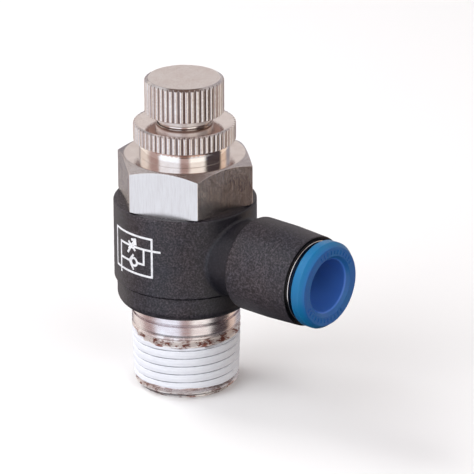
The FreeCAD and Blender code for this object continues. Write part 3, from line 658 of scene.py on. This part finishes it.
def groove_depth(angle, height):
    """Depth of the taper thread, which runs out at its upper end."""
    off = off_groove(angle, height, THREAD_PITCH, THREAD_PHASE)
    flank = (THREAD_PITCH / 2 - 0.11 - off) / (THREAD_PITCH / 2 - 0.22)
    share = min(max(flank, 0.0), 1.0)
    share = share * share * (3 - 2 * share) * 0.35 + share * 0.65
    run_out = min(max((THREAD_TOP + 0.3 - height) / 1.1, 0.0), 1.0)
    return THREAD_DEPTH * share * run_out


def metal_radius(angle, height):
    tip = TIP_RADIUS + height * (crest_radius(TIP_RISE) - TIP_RADIUS) / TIP_RISE
    return min(crest_radius(height) - groove_depth(angle, height), tip)


def hexagon_radius(angle):
    """Radius of the hexagon at this angle, with slightly rounded corners."""
    off = (angle - HEX_TURN + 30) % 60 - 30
    arm = (HEX_FLATS / 2 - HEX_CORNER_ROUND) / math.cos(math.radians(30))
    tangent = math.degrees(math.atan2(
        HEX_CORNER_ROUND / 2, arm + HEX_CORNER_ROUND * math.cos(math.radians(30))))
    if abs(off) > tangent:
        return HEX_FLATS / 2 / math.cos(math.radians(30 - abs(off)))
    side = arm * math.sin(math.radians(off))
    return arm * math.cos(math.radians(off)) + math.sqrt(HEX_CORNER_ROUND ** 2 - side * side)


def bolt_angles():
    """Even steps, with more of them at the hexagon's corners."""
    angles = {round(angle, 3) for angle in around(240)}
    for corner in range(6):
        for offset in (-0.85, -0.45, -0.3, -0.15, 0, 0.15, 0.3, 0.45, 0.85):
            angles.add(round((HEX_TURN + 60 * corner + offset) % 360, 3))
    return sorted(angles)


THREAD_ROWS = 22


def bolt_column(angle):
    wall = hexagon_radius(angle)
    rise = (wall - HEX_FACE) / (HEX_CORNER - HEX_FACE)
    heights = spiral_heights(angle, 0, THREAD_TOP, THREAD_PITCH, THREAD_PHASE, THREAD_ROWS)
    thread = [(metal_radius(angle, height), height) for height in heights]
    above = rounded([
        (crest_radius(THREAD_TOP) - 0.12, THREAD_TOP, 0),
        (NECK_RADIUS, NECK_BOTTOM, 0.1),
        (NECK_RADIUS, NECK_GROOVE[0], 0.05),
        (NECK_GROOVE_RADIUS, NECK_GROOVE[0], 0.04),
        (NECK_GROOVE_RADIUS, NECK_GROOVE[1], 0.04),
        (NECK_RADIUS, NECK_GROOVE[1], 0.05),
        (NECK_RADIUS, SHANK_STEPS[0][1], 0.05),
        *stepped(*SHANK_STEPS),
        (HEX_FACE, HEX_BOTTOM, 0.05),
        (wall, HEX_BOTTOM + 0.45 * rise, 0.09),
        (wall, HEX_TOP - 1.0 * rise, 0.12),
        (HEX_FACE, HEX_TOP, 0.25),
        (GUIDE_RADIUS, HEX_TOP, 0.1),
        (GUIDE_RADIUS, GUIDE_BOTTOM, 0),
        *stepped((BORE_RADIUS, GUIDE_BOTTOM, RIB_TOP), (RIB_RADIUS, RIB_TOP, RIB_BOTTOM)),
        (BORE_RADIUS, RIB_BOTTOM, 0),
        (BORE_RADIUS, 0.0, 0.2),
        (TIP_RADIUS - 0.15, 0.0, 0),
    ])
    return thread + above


def threaded_bolt():
    """The bolt with its taper thread, neck, hexagon, bore and air holes."""
    rows = len(spiral_heights(0, 0, THREAD_TOP, THREAD_PITCH, THREAD_PHASE, THREAD_ROWS))
    mesh = skin("threaded_bolt", bolt_angles(), bolt_column,
                spirals=[(0, rows - 1, THREAD_ROWS)])
    bm = bmesh.new()
    for count, height, radius in AIR_HOLES:
        for angle in around(count):
            add_rod(bm, up_axis(3.9, angle, height), up_axis(8.0, angle, height), radius, 24)
    mesh = combined(mesh, finished("air_holes", bm), "DIFFERENCE")
    add("threaded_bolt", mesh, "bolt", BOLT, ["hollow_bolt"])


# ---- the sealing coat

COAT_BOTTOM, COAT_TOP = 1.75, 8.7
COAT_ROWS = 26


def coat_edge(angle, middle, reach):
    """A ragged edge: a height that wanders round the thread."""
    spot = up_axis(2.2, angle, middle)
    fine = up_axis(9.0, angle, middle)
    return middle + reach * noise.noise(spot) + 0.35 * reach * noise.noise(fine)


def coat_radius(angle, height):
    """The coat fills the thread but for a narrow dip over each groove."""
    off = off_groove(angle, height, THREAD_PITCH, THREAD_PHASE)
    dip = max(0.0, 1 - off / 0.17)
    crown = (off / THREAD_PITCH) ** 2
    lumps = 0.018 * noise.noise(up_axis(crest_radius(height) * 0.9, angle, height * 2.5))
    return crest_radius(height) - 0.015 - 0.22 * dip ** 1.3 + 0.06 * crown + lumps


def coat_column(angle):
    bottom = coat_edge(angle, COAT_BOTTOM, 0.25)
    top = coat_edge(angle, COAT_TOP, 0.55)
    heights = spiral_heights(angle, bottom, top, THREAD_PITCH, THREAD_PHASE, COAT_ROWS,
                             (COAT_BOTTOM - 0.5, COAT_TOP + 1))
    outer = []
    for height in heights:
        near = min(height - bottom, top - height)
        edge = min(max(near / 0.12, 0.0), 1.0)
        skin_radius = coat_radius(angle, height)
        metal = metal_radius(angle, height) + 0.01
        outer.append((metal + max(skin_radius - metal, 0.004) * edge, height))
    inner = [(metal_radius(angle, height) - 0.02, height) for height in reversed(heights)]
    return outer + inner


def sealing_coat():
    rows = len(coat_column(0)) // 2
    mesh = skin("sealing_coat", around(240), coat_column,
                spirals=[(0, rows - 1, COAT_ROWS), (rows, 2 * rows - 1, -COAT_ROWS)])
    add("sealing_coat", mesh, "bolt", COAT, ["thread_sealant"])


# ---- guide, nut, knob, spindle

def guide_collar():
    mesh = turned("guide_collar", [
        (GUIDE_BORE_RADIUS, GUIDE_BOTTOM, 0),
        (GUIDE_RADIUS, GUIDE_BOTTOM, 0.1),
        (GUIDE_RADIUS, GUIDE_GROOVE[1], 0),
        *stepped(GUIDE_GROOVE, (GUIDE_RADIUS, GUIDE_GROOVE[2], HEX_TOP)),
        (COLLAR_RADIUS, HEX_TOP, 0.04),
        (COLLAR_RADIUS, COLLAR_TOP - COLLAR_BEVEL[1], 0.1),
        (COLLAR_RADIUS - COLLAR_BEVEL[0], COLLAR_TOP, 0.1),
        (GUIDE_THREAD_RADIUS, COLLAR_TOP, 0.15),
        (GUIDE_THREAD_RADIUS, GUIDE_THREAD_BOTTOM, 0),
        (GUIDE_BORE_RADIUS, GUIDE_THREAD_BOTTOM, 0),
    ], 180)
    add("guide_collar", mesh, "bolt", POLISHED, ["needle_guide"])


def knurl_angles(ridges):
    """Angles across each ridge: the groove's floor, its flanks and the ridge's crown."""
    shares = (0.0, 0.03, 0.11, 0.19, 0.25, 0.33, 0.41, 0.5, 0.59, 0.67, 0.75, 0.81, 0.89, 0.97)
    return [(ridge + share) * 360 / ridges for ridge in range(ridges) for share in shares]


def knurl_cut(angle, ridges):
    """Depth of the knurl at this angle."""
    share = (angle * ridges / 360) % 1.0
    off = min(share, 1 - share)
    flank = min(max((0.22 - off) / 0.19, 0.0), 1.0)
    crown = (0.5 - max(off, 0.22)) / 0.28
    return (KNURL_DEPTH - 0.06) * flank + 0.06 * crown ** 2.2


def lock_nut():
    def column(angle):
        wall = NUT_RADIUS - knurl_cut(angle, NUT_RIDGES)
        fall = NUT_BEVEL * (wall - NUT_FACE) / (NUT_RADIUS - NUT_FACE)
        return rounded([
            (GUIDE_THREAD_RADIUS, NUT_BOTTOM, 0.15),
            (NUT_FACE, NUT_BOTTOM, 0.06),
            (wall, NUT_BOTTOM + max(fall, 0.02), 0.05),
            (wall, NUT_TOP - max(fall, 0.02), 0.05),
            (NUT_FACE, NUT_TOP, 0.1),
            (GUIDE_THREAD_RADIUS, NUT_TOP, 0.3),
        ], 3)
    mesh = skin("knurled_nut", knurl_angles(NUT_RIDGES), column)
    add("knurled_nut", mesh, "nut", NUT_METAL, ["lock_nut"])


def adjusting_knob():
    def column(angle):
        wall = KNOB_RADIUS - knurl_cut(angle, KNOB_RIDGES)
        fall = KNOB_BEVEL * (wall - KNOB_FACE) / (KNOB_RADIUS - KNOB_FACE)
        return rounded([
            (KNOB_SEAT_RADIUS, KNOB_SHOULDER, 0),
            (KNOB_BOSS_RADIUS, KNOB_SHOULDER, 0.3),
            (KNOB_BOSS_RADIUS, KNOB_BOTTOM, 0.05),
            (KNOB_RADIUS - KNURL_DEPTH - 0.25, KNOB_BOTTOM, 0.04),
            (wall, KNOB_BOTTOM + 0.22, 0.06),
            (wall, KNOB_TOP - fall, 0.08),
            (KNOB_FACE, KNOB_TOP, 0.16),
            (0.0, KNOB_TOP, 0),
            (0.0, 48.5, 0),
            (KNOB_SEAT_RADIUS, 48.5, 0),
        ], 3)
    mesh = skin("adjusting_knob", knurl_angles(KNOB_RIDGES), column)
    add("adjusting_knob", mesh, "spindle", KNOB_METAL, ["knurled_knob"])


SPINDLE_PITCH, SPINDLE_ROWS = 0.75, 10
SPINDLE_THREAD = (29.8, 43.0)   # its ends
SPINDLE_RADIUS = 4.0
KNOB_SEAT_RADIUS = 3.0
LAND_RADIUS = 4.43              # the sealed land, with a groove for the O-ring
NEEDLE_TIP = 17.4


def threaded_spindle():
    """Needle, sealed land and a fine thread up to the knob."""
    def column(angle):
        heights = spiral_heights(angle, *SPINDLE_THREAD, SPINDLE_PITCH, 0, SPINDLE_ROWS)
        thread = []
        for height in heights:
            off = off_groove(angle, height, SPINDLE_PITCH, 0)
            ends = min(height - SPINDLE_THREAD[0], SPINDLE_THREAD[1] - height) / 0.5
            depth = 0.42 * max(0.0, 1 - off / (SPINDLE_PITCH / 2 - 0.05))
            thread.append((SPINDLE_RADIUS - depth * min(max(ends, 0.0), 1.0), height))
        above = rounded([
            (SPINDLE_RADIUS, 43.1, 0),
            (SPINDLE_RADIUS - 0.05, 43.25, 0),
            (KNOB_SEAT_RADIUS, 43.25, 0),
            (KNOB_SEAT_RADIUS, 48.4, 0.1),
            (0.0, 48.4, 0),
            (0.0, NEEDLE_TIP, 0),
            (1.3, NEEDLE_TIP, 0.1),
            (2.42, 20.58, 0),
            (3.4, 20.58, 0.05),
            (3.4, 21.58, 0.2),
            *stepped((2.7, 22.18, 26.0)),
            (LAND_RADIUS, 26.6, 0.05),
            (LAND_RADIUS, 27.2, 0),
            *stepped((3.55, 27.2, 28.3), (LAND_RADIUS, 28.3, 28.8), (3.6, 28.8, 29.3)),
            (SPINDLE_RADIUS, 29.7, 0),
        ])
        return thread + above
    rows = len(spiral_heights(0, *SPINDLE_THREAD, SPINDLE_PITCH, 0, SPINDLE_ROWS))
    mesh = skin("threaded_spindle", around(96), column, spirals=[(0, rows - 1, SPINDLE_ROWS)])
    add("threaded_spindle", mesh, "spindle", POLISHED, ["needle_spindle"])


# ---- the swivelling body

PARTING_LINE = 0.025            # how far it stands proud
LOW_ROUND, LOW_ROUND_RISE = 1.7, 1.74
PASSAGE_RADIUS = 3.2
PASSAGE_END, TUBE_STOP, CARTRIDGE_STOP = 9.4, 11.0, 15.5


def body_ring():
    """The ring round the bolt, with a faint parting line at the port's height."""
    low_round = []
    for step in range(11):
        turn = math.radians(-75 + 75 * step / 10)
        low_round.append((RING_LOW_RADIUS - LOW_ROUND + LOW_ROUND * math.cos(turn),
                          RING_BOTTOM + LOW_ROUND_RISE + LOW_ROUND * math.sin(turn), 0))
    outline = rounded(low_round + [
        (RING_LOW_RADIUS, RING_STEP - 0.36, 0.06),
        (RING_LOW_RADIUS - STEP_GROOVE[0], RING_STEP - STEP_GROOVE[1], 0),
        (RING_LOW_RADIUS - STEP_GROOVE[0], RING_STEP, 0),
        (RING_RADIUS, RING_STEP, 0.1),
        *stepped((RING_RADIUS, PORT_Z - 0.16, PORT_Z - 0.08)),
        (RING_RADIUS + PARTING_LINE, PORT_Z, 0),
        *stepped((RING_RADIUS, PORT_Z + 0.08, PORT_Z + 0.16)),
        (RING_RADIUS, RING_TOP, 0.3),
        (9.15, RING_TOP, 0.12),
        (9.15, 19.95, 0),
        *stepped((8.9, 19.95, 16.6), (8.5, 16.6, 14.85)),
        (9.3, 14.85, 0),
    ], 6)
    return skin("body_ring", around(288), lambda angle: outline)


def body_port():
    """The boss, flared onto the ring, and the barrel with its stepped bore."""
    def column(angle):
        side = math.cos(math.radians(angle))
        lift = math.sin(math.radians(angle))
        flare = []
        for step in range(9):
            turn = math.radians(14 + 76 * step / 8)
            radius = BOSS_RADIUS + BOSS_FILLET * (1 - math.sin(turn))
            height = PORT_Z + radius * lift
            wall = RING_LOW_RADIUS if height < RING_STEP else RING_RADIUS
            face = math.sqrt(wall ** 2 - (radius * side) ** 2)
            flare.append((radius, face - 0.018 + BOSS_FILLET * (1 - math.cos(turn))))
        root = flare[0]
        start = [(root[0] - 0.15, root[1] - 0.9)]
        seam = PARTING_LINE * max(0.0, 1 - abs(lift) / 0.012)
        outside = rounded([
            (BOSS_RADIUS, BARREL_BACK - 0.6, 0),
            (BOSS_RADIUS, BARREL_BACK, 0.25),
            (BARREL_RADIUS + seam, BARREL_BACK, 1.1),
            (BARREL_RADIUS + seam, BARREL_STRAIGHT, 1.5),
            (BARREL_FRONT_RADIUS + seam, BARREL_FRONT, 0.25),
            (CARTRIDGE_RADIUS, BARREL_FRONT, 0.06),
            (CARTRIDGE_RADIUS, CARTRIDGE_STOP, 0),
            (TUBE_RADIUS, CARTRIDGE_STOP, 0.1),
            (TUBE_RADIUS, TUBE_STOP, 0),
            *stepped((PASSAGE_RADIUS, TUBE_STOP, PASSAGE_END)),
        ], 6)
        return start + flare + outside
    angles = sorted(set(around(216)) | {0.4, 359.6, 179.6, 180.4})
    return skin("body_port", angles, column, port_axis)


def moulded_body():
    mesh = combined(body_ring(), body_port(), "UNION")
    bm = bmesh.new()
    add_rod(bm, Vector((7.0, 0, PORT_Z)), Vector((11.5, 0, PORT_Z)), PASSAGE_RADIUS, 72)
    mesh = combined(mesh, finished("passage", bm), "DIFFERENCE")
    add("moulded_body", mesh, "swivel", BLACK, ["swivel_body"])


def port_bush():
    mesh = turned("port_bush", [
        (BUSH_BORE_RADIUS, BUSH_BACK, 0.05),
        (CARTRIDGE_RADIUS, BUSH_BACK, 0.15),
        (CARTRIDGE_RADIUS, BARREL_FRONT, 0),
        (BUSH_RADIUS, BARREL_FRONT, 0.05),
        (BUSH_RADIUS, BUSH_FACE, 0.1),
        (BUSH_LIP_RADIUS, BUSH_FACE, 0.12),
        (BUSH_LIP_RADIUS, BUSH_FACE - 1.05, 0.03),
        (BUSH_BORE_RADIUS, BUSH_FACE - 1.05, 0),
    ], 180, port_axis)
    add("port_bush", mesh, "swivel", POLISHED, ["cartridge_bush"])


def blue_ring():
    """The release ring: a broad rounded flange and a slotted sleeve with a barb."""
    mesh = turned("blue_ring", [
        (TUBE_RADIUS, RELEASE_NOSE, 0.1),
        (TUBE_RADIUS + 0.4, RELEASE_NOSE, 0.1),
        (SLEEVE_RADIUS, RELEASE_NOSE + 1.0, 0.3),
        (SLEEVE_RADIUS, BARB_END - 1.2, 0),
        (BARB_RADIUS, BARB_END - 0.5, 0.1),
        (BARB_RADIUS, BARB_END, 0.05),
        (SLEEVE_RADIUS, BARB_END, 0.05),
        (SLEEVE_RADIUS, RELEASE_BACK, 0.1),
        (RELEASE_RADIUS - 0.2, RELEASE_BACK, 0.05),
        (RELEASE_RADIUS, RELEASE_BACK + 0.2, 0.08),
        (RELEASE_RADIUS, RELEASE_FACE - 0.8, 0.25),
        (RELEASE_RADIUS - 0.6, RELEASE_FACE, 0.18),
        (4.75, RELEASE_FACE, 0.06),
        (4.55, RELEASE_FACE - 0.2, 0.05),
        (TUBE_RADIUS, RELEASE_FACE - 0.6, 0.2),
    ], 216, port_axis, 6)
    for angle in SLOT_ANGLES:
        side = port_axis(SLOT_REACH, angle, 0) - port_axis(0.0, angle, 0)
        across = side.cross(Vector((1, 0, 0))).normalized() * SLOT_HALF_WIDTH
        corners = (side + across, side - across, -side - across, -side + across)
        middles = [Vector((along, 0, PORT_Z))
                   for along in (RELEASE_NOSE - 1.0, RELEASE_NOSE + SLOT_LENGTH)]
        bm = bmesh.new()
        add_prism(bm, *([middle + corner for corner in corners] for middle in middles))
        mesh = combined(mesh, finished("slot", bm), "DIFFERENCE")
    add("blue_ring", mesh, "release", BLUE, ["release_ring"])


def add_bar(bm, corners, lift):
    """A closed bar with sloping sides: corners at its foot, lift to its top."""
    middle = sum(corners, Vector()) / len(corners)
    add_prism(bm, corners, [middle + (point - middle) * 0.82 + lift for point in corners])


def ring_ticks():
    """Raised grip ticks on the blue ring's face, in two groups."""
    bm = bmesh.new()
    inner, outer, half = 4.98, 5.72, 0.95
    for start, end, count in ((28, 112, 11), (205, 300, 12)):
        for number in range(count):
            angle = start + (end - start) * number / (count - 1)
            corners = []
            for radius, side in ((inner, -half), (inner, half), (outer, half), (outer, -half)):
                corners.append(port_axis(radius, angle + side, RELEASE_FACE - 0.02))
            add_bar(bm, corners, Vector((0.11, 0, 0)))
    add("ring_ticks", finished("ring_ticks", bm), "release", BLUE)


# ---- the printed symbol

SYMBOL_ANGLE = -97.6            # where the symbol's middle sits round the ring
SYMBOL_HEIGHT = 24.25
STROKE = 0.33
INK = 0.03


def on_ring(across, up, proud=0.0):
    """A point on the ring at a place in the symbol, in millimetres from its middle."""
    angle = SYMBOL_ANGLE + math.degrees(across / RING_RADIUS)
    return up_axis(RING_RADIUS + proud, angle, SYMBOL_HEIGHT + up)


def add_stroke(bm, start, end, width=STROKE):
    """A straight printed stroke that follows the ring's surface."""
    line = Vector(end) - Vector(start)
    side = Vector((-line.y, line.x)).normalized() * width / 2
    tail = line.normalized() * width / 2
    first, last = Vector(start) - tail, Vector(end) + tail
    steps = max(1, math.ceil(line.length / 0.35))
    rows = []
    for step in range(steps + 1):
        spot = first.lerp(last, step / steps)
        row = []
        for edge, proud in ((side, -0.02), (side, INK), (-side, INK), (-side, -0.02)):
            row.append(bm.verts.new(on_ring(spot.x + edge.x, spot.y + edge.y, proud) * MM))
        rows.append(row)
    for one, two in zip(rows, rows[1:]):
        bridge(bm, one, two)
    bm.faces.new(rows[0])
    bm.faces.new(list(reversed(rows[-1])))


def arc(centre, radius, start, end, steps=8):
    """Points along an arc in the symbol."""
    points = []
    for step in range(steps + 1):
        turn = math.radians(start + (end - start) * step / steps)
        points.append((centre[0] + radius * math.cos(turn), centre[1] + radius * math.sin(turn)))
    return points


def flow_symbol():
    """The general drawing symbol of a one-way flow control valve."""
    half, tall = 4.05, 3.1
    main, back = 1.2, -1.3
    inlet, outlet = -2.6, 2.6
    throttle, ball = (0.2, main), (0.65, back)
    lines = [
        [(-half, -tall), (-half, tall), (1.2, tall)],
        [(1.55, tall), (half, tall), (half, -tall), (-half, -tall)],
        [(half + 1.3, main), (0.75, main)],
        [(-0.4, main), (inlet, main), (inlet, -tall - 0.6)],
        [(inlet, back), (-0.35, back)],
        [(outlet, main), (outlet, back), (1.3, back)],
        [(0.45, back + 1.05), (-0.4, back), (0.45, back - 1.2)],
        arc(ball, 0.62, 0, 360, 14),
        arc((throttle[0], main + 0.95), 0.75, 215, 325, 6),
        arc((throttle[0], main - 0.95), 0.75, 35, 145, 6),
        [(throttle[0] - 0.85, main - 1.15), (throttle[0] + 0.75, main + 1.2)],
        [(throttle[0] + 0.1, main + 1.05), (throttle[0] + 0.75, main + 1.2),
         (throttle[0] + 0.85, main + 0.5)],
    ]
    bm = bmesh.new()
    for number, line in enumerate(lines):
        for start, end in zip(line, line[1:]):
            add_stroke(bm, start, end, STROKE if number < 8 else STROKE * 1.15)
    mesh = bpy.data.meshes.new("flow_symbol")
    bmesh.ops.recalc_face_normals(bm, faces=bm.faces)
    bm.to_mesh(mesh)
    bm.free()
    add("flow_symbol", mesh, "swivel", PRINT)


# ---- the inner pieces

INNER_PIECES = (
    (BRASS, ["seat_ring"]),
    (STEEL, ["retaining_ring", "grip_ring"]),
    (ACETAL, ["lip_seal_clip", "seal_support_ring"]),
    (RUBBER, ["check_lip_seal", "tube_seal", "upper_body_o_ring", "lower_body_o_ring",
              "guide_o_ring", "spindle_o_ring"]),
)


def finish_inner_pieces():
    """Materials of the CAD pieces that stay as they are."""
    for material, names in INNER_PIECES:
        for name in names:
            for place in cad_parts[name].material_slots:
                place.material = material


# ---- floor, light, camera

def pale_floor():
    bm = bmesh.new()
    rim = [bm.verts.new(up_axis(4000, angle, -0.02) * MM) for angle in around(64)]
    bm.faces.new(rim)
    mesh = bpy.data.meshes.new("floor")
    bm.to_mesh(mesh)
    bm.free()
    floor = linked("floor", mesh)
    mesh.materials.append(new_material("pale_floor", (0.94, 0.94, 0.94), 0.9)[0])
    floor.visible_glossy = False
    floor.visible_diffuse = False


def studio_world():
    """A light tent: soft boxes and dark gaps round the camera, a pale dome above."""
    world = bpy.data.worlds.new("studio")
    bpy.context.scene.world = world
    world.use_nodes = True
    nodes = Nodes(world)
    background = world.node_tree.nodes["Background"]
    direction = nodes.new("TexCoord").outputs["Generated"]
    x, y, z = nodes.parts(direction)
    turn = nodes.maths("ARCTAN2", y, x)
    camera_turn = math.radians(CAMERA_TURN - 90)
    offset = nodes.maths("SUBTRACT", turn, camera_turn)
    facing = nodes.maths("COSINE", offset)
    share = nodes.maths("FRACT", nodes.maths("ADD", nodes.maths("DIVIDE", offset, 2 * math.pi), 0.5))
    ramp_node = nodes.new("ValToRGB")
    ramp = ramp_node.color_ramp
    nodes.feed(ramp_node, "Fac", share)
    white, cream = (1.08, 1.15, 1.26), (1.12, 1.08, 1.02)
    brown, dark = (0.48, 0.35, 0.33), (0.058, 0.044, 0.048)
    gold, grey = (0.88, 0.70, 0.57), (0.40, 0.39, 0.43)
    pale, dim = (0.96, 0.89, 0.83), (0.20, 0.19, 0.225)
    bands = [
        (-180, dim), (-154, dim), (-147, pale), (-112, pale), (-94, brown), (-71, brown),
        (-64, white), (-15, white), (-9, brown), (9, brown), (16, cream), (50, cream),
        (58, dark), (101, dark), (107, gold), (124, gold), (134, grey), (180, grey),
    ]
    while len(ramp.elements) < len(bands):
        ramp.elements.new(0.5)
    for element, (degrees, colour) in zip(ramp.elements, bands):
        element.position = degrees / 360 + 0.5
        element.color = (*colour, 1)
    behind = nodes.times(nodes.spread(facing, -0.89, -0.975), nodes.spread(z, 0.0, 0.15))
    sides = nodes.blend(behind, ramp_node.outputs["Color"], (0.76, 0.70, 0.68))
    slit = nodes.spread(facing, 0.955, 0.985)
    left = nodes.spread(nodes.maths("SINE", offset), 0.2, -0.4)
    panels = nodes.blend(left, (0.75, 0.73, 0.74), (1.12, 1.15, 1.2))
    panels = nodes.blend(nodes.spread(facing, -0.4, -0.85), panels, (0.40, 0.38, 0.39))
    panels = nodes.blend(slit, panels, (0.16, 0.105, 0.09))
    overhead = nodes.blend(nodes.spread(z, 0.86, 0.92, smooth=True), panels, (0.15, 0.10, 0.085))
    sky = nodes.blend(nodes.spread(z, 0.45, 0.6, smooth=True), sides, overhead)
    sky = nodes.blend(nodes.spread(z, -0.5, -0.7, smooth=True), sky, (0.05, 0.053, 0.065))
    seen = nodes.new("LightPath").outputs["Is Camera Ray"]
    nodes.feed(background, "Color", nodes.blend(seen, sky, (1.0, 1.0, 1.0)))
    background.inputs["Strength"].default_value = 1.0


def soft_light(name, offset, rise, distance, size, power):
    """A square soft box aimed at the valve, placed round the camera's direction."""
    light = bpy.data.lights.new(name, "AREA")
    light.shape = "SQUARE"
    light.size = size
    light.energy = power
    lamp = linked(name, light)
    aim = Vector((0, 0, PORT_Z * MM))
    turn = CAMERA_TURN - 90 + offset
    arm = up_axis(math.cos(math.radians(rise)), turn, math.sin(math.radians(rise)))
    lamp.location = aim + arm * distance
    lamp.rotation_euler = (aim - lamp.location).to_track_quat("-Z", "Y").to_euler()
    lamp.visible_glossy = False


def camera():
    """The viewpoint: above and to the right of the bolt, with a long lens."""
    turn, rise = math.radians(CAMERA_TURN), math.radians(CAMERA_RISE)
    roll = math.radians(CAMERA_ROLL)
    back = Vector((math.sin(turn) * math.cos(rise), -math.cos(turn) * math.cos(rise),
                   math.sin(rise)))
    right = Vector((math.cos(turn), math.sin(turn), 0))
    up = back.cross(right)
    data = bpy.data.cameras.new("camera")
    data.lens = CAMERA_LENS
    data.sensor_width = 36
    data.clip_start = 0.01
    data.clip_end = 20
    viewer = linked("camera", data)
    aim = Vector((0, 0, CAMERA_AIM[1] * MM)) + right * CAMERA_AIM[0] * MM
    across = right * math.cos(roll) + up * math.sin(roll)
    upward = up * math.cos(roll) - right * math.sin(roll)
    turned_to = viewer.matrix_world.to_3x3()
    turned_to.col[0], turned_to.col[1], turned_to.col[2] = across, upward, back
    viewer.matrix_world = turned_to.to_4x4()
    viewer.location = aim + back * CAMERA_DISTANCE
    bpy.context.scene.camera = viewer


camera()
threaded_bolt()
sealing_coat()
guide_collar()
lock_nut()
adjusting_knob()
threaded_spindle()
moulded_body()
port_bush()
blue_ring()
ring_ticks()
flow_symbol()
finish_inner_pieces()
pale_floor()
studio_world()
soft_light("key", -125, 50, 0.5, 0.2, 0.9)
soft_light("left", -60, 30, 0.6, 0.5, 1.9)
soft_light("right", 40, 30, 0.6, 0.5, 1.1)
bpy.context.scene.view_settings.view_transform = "Standard"
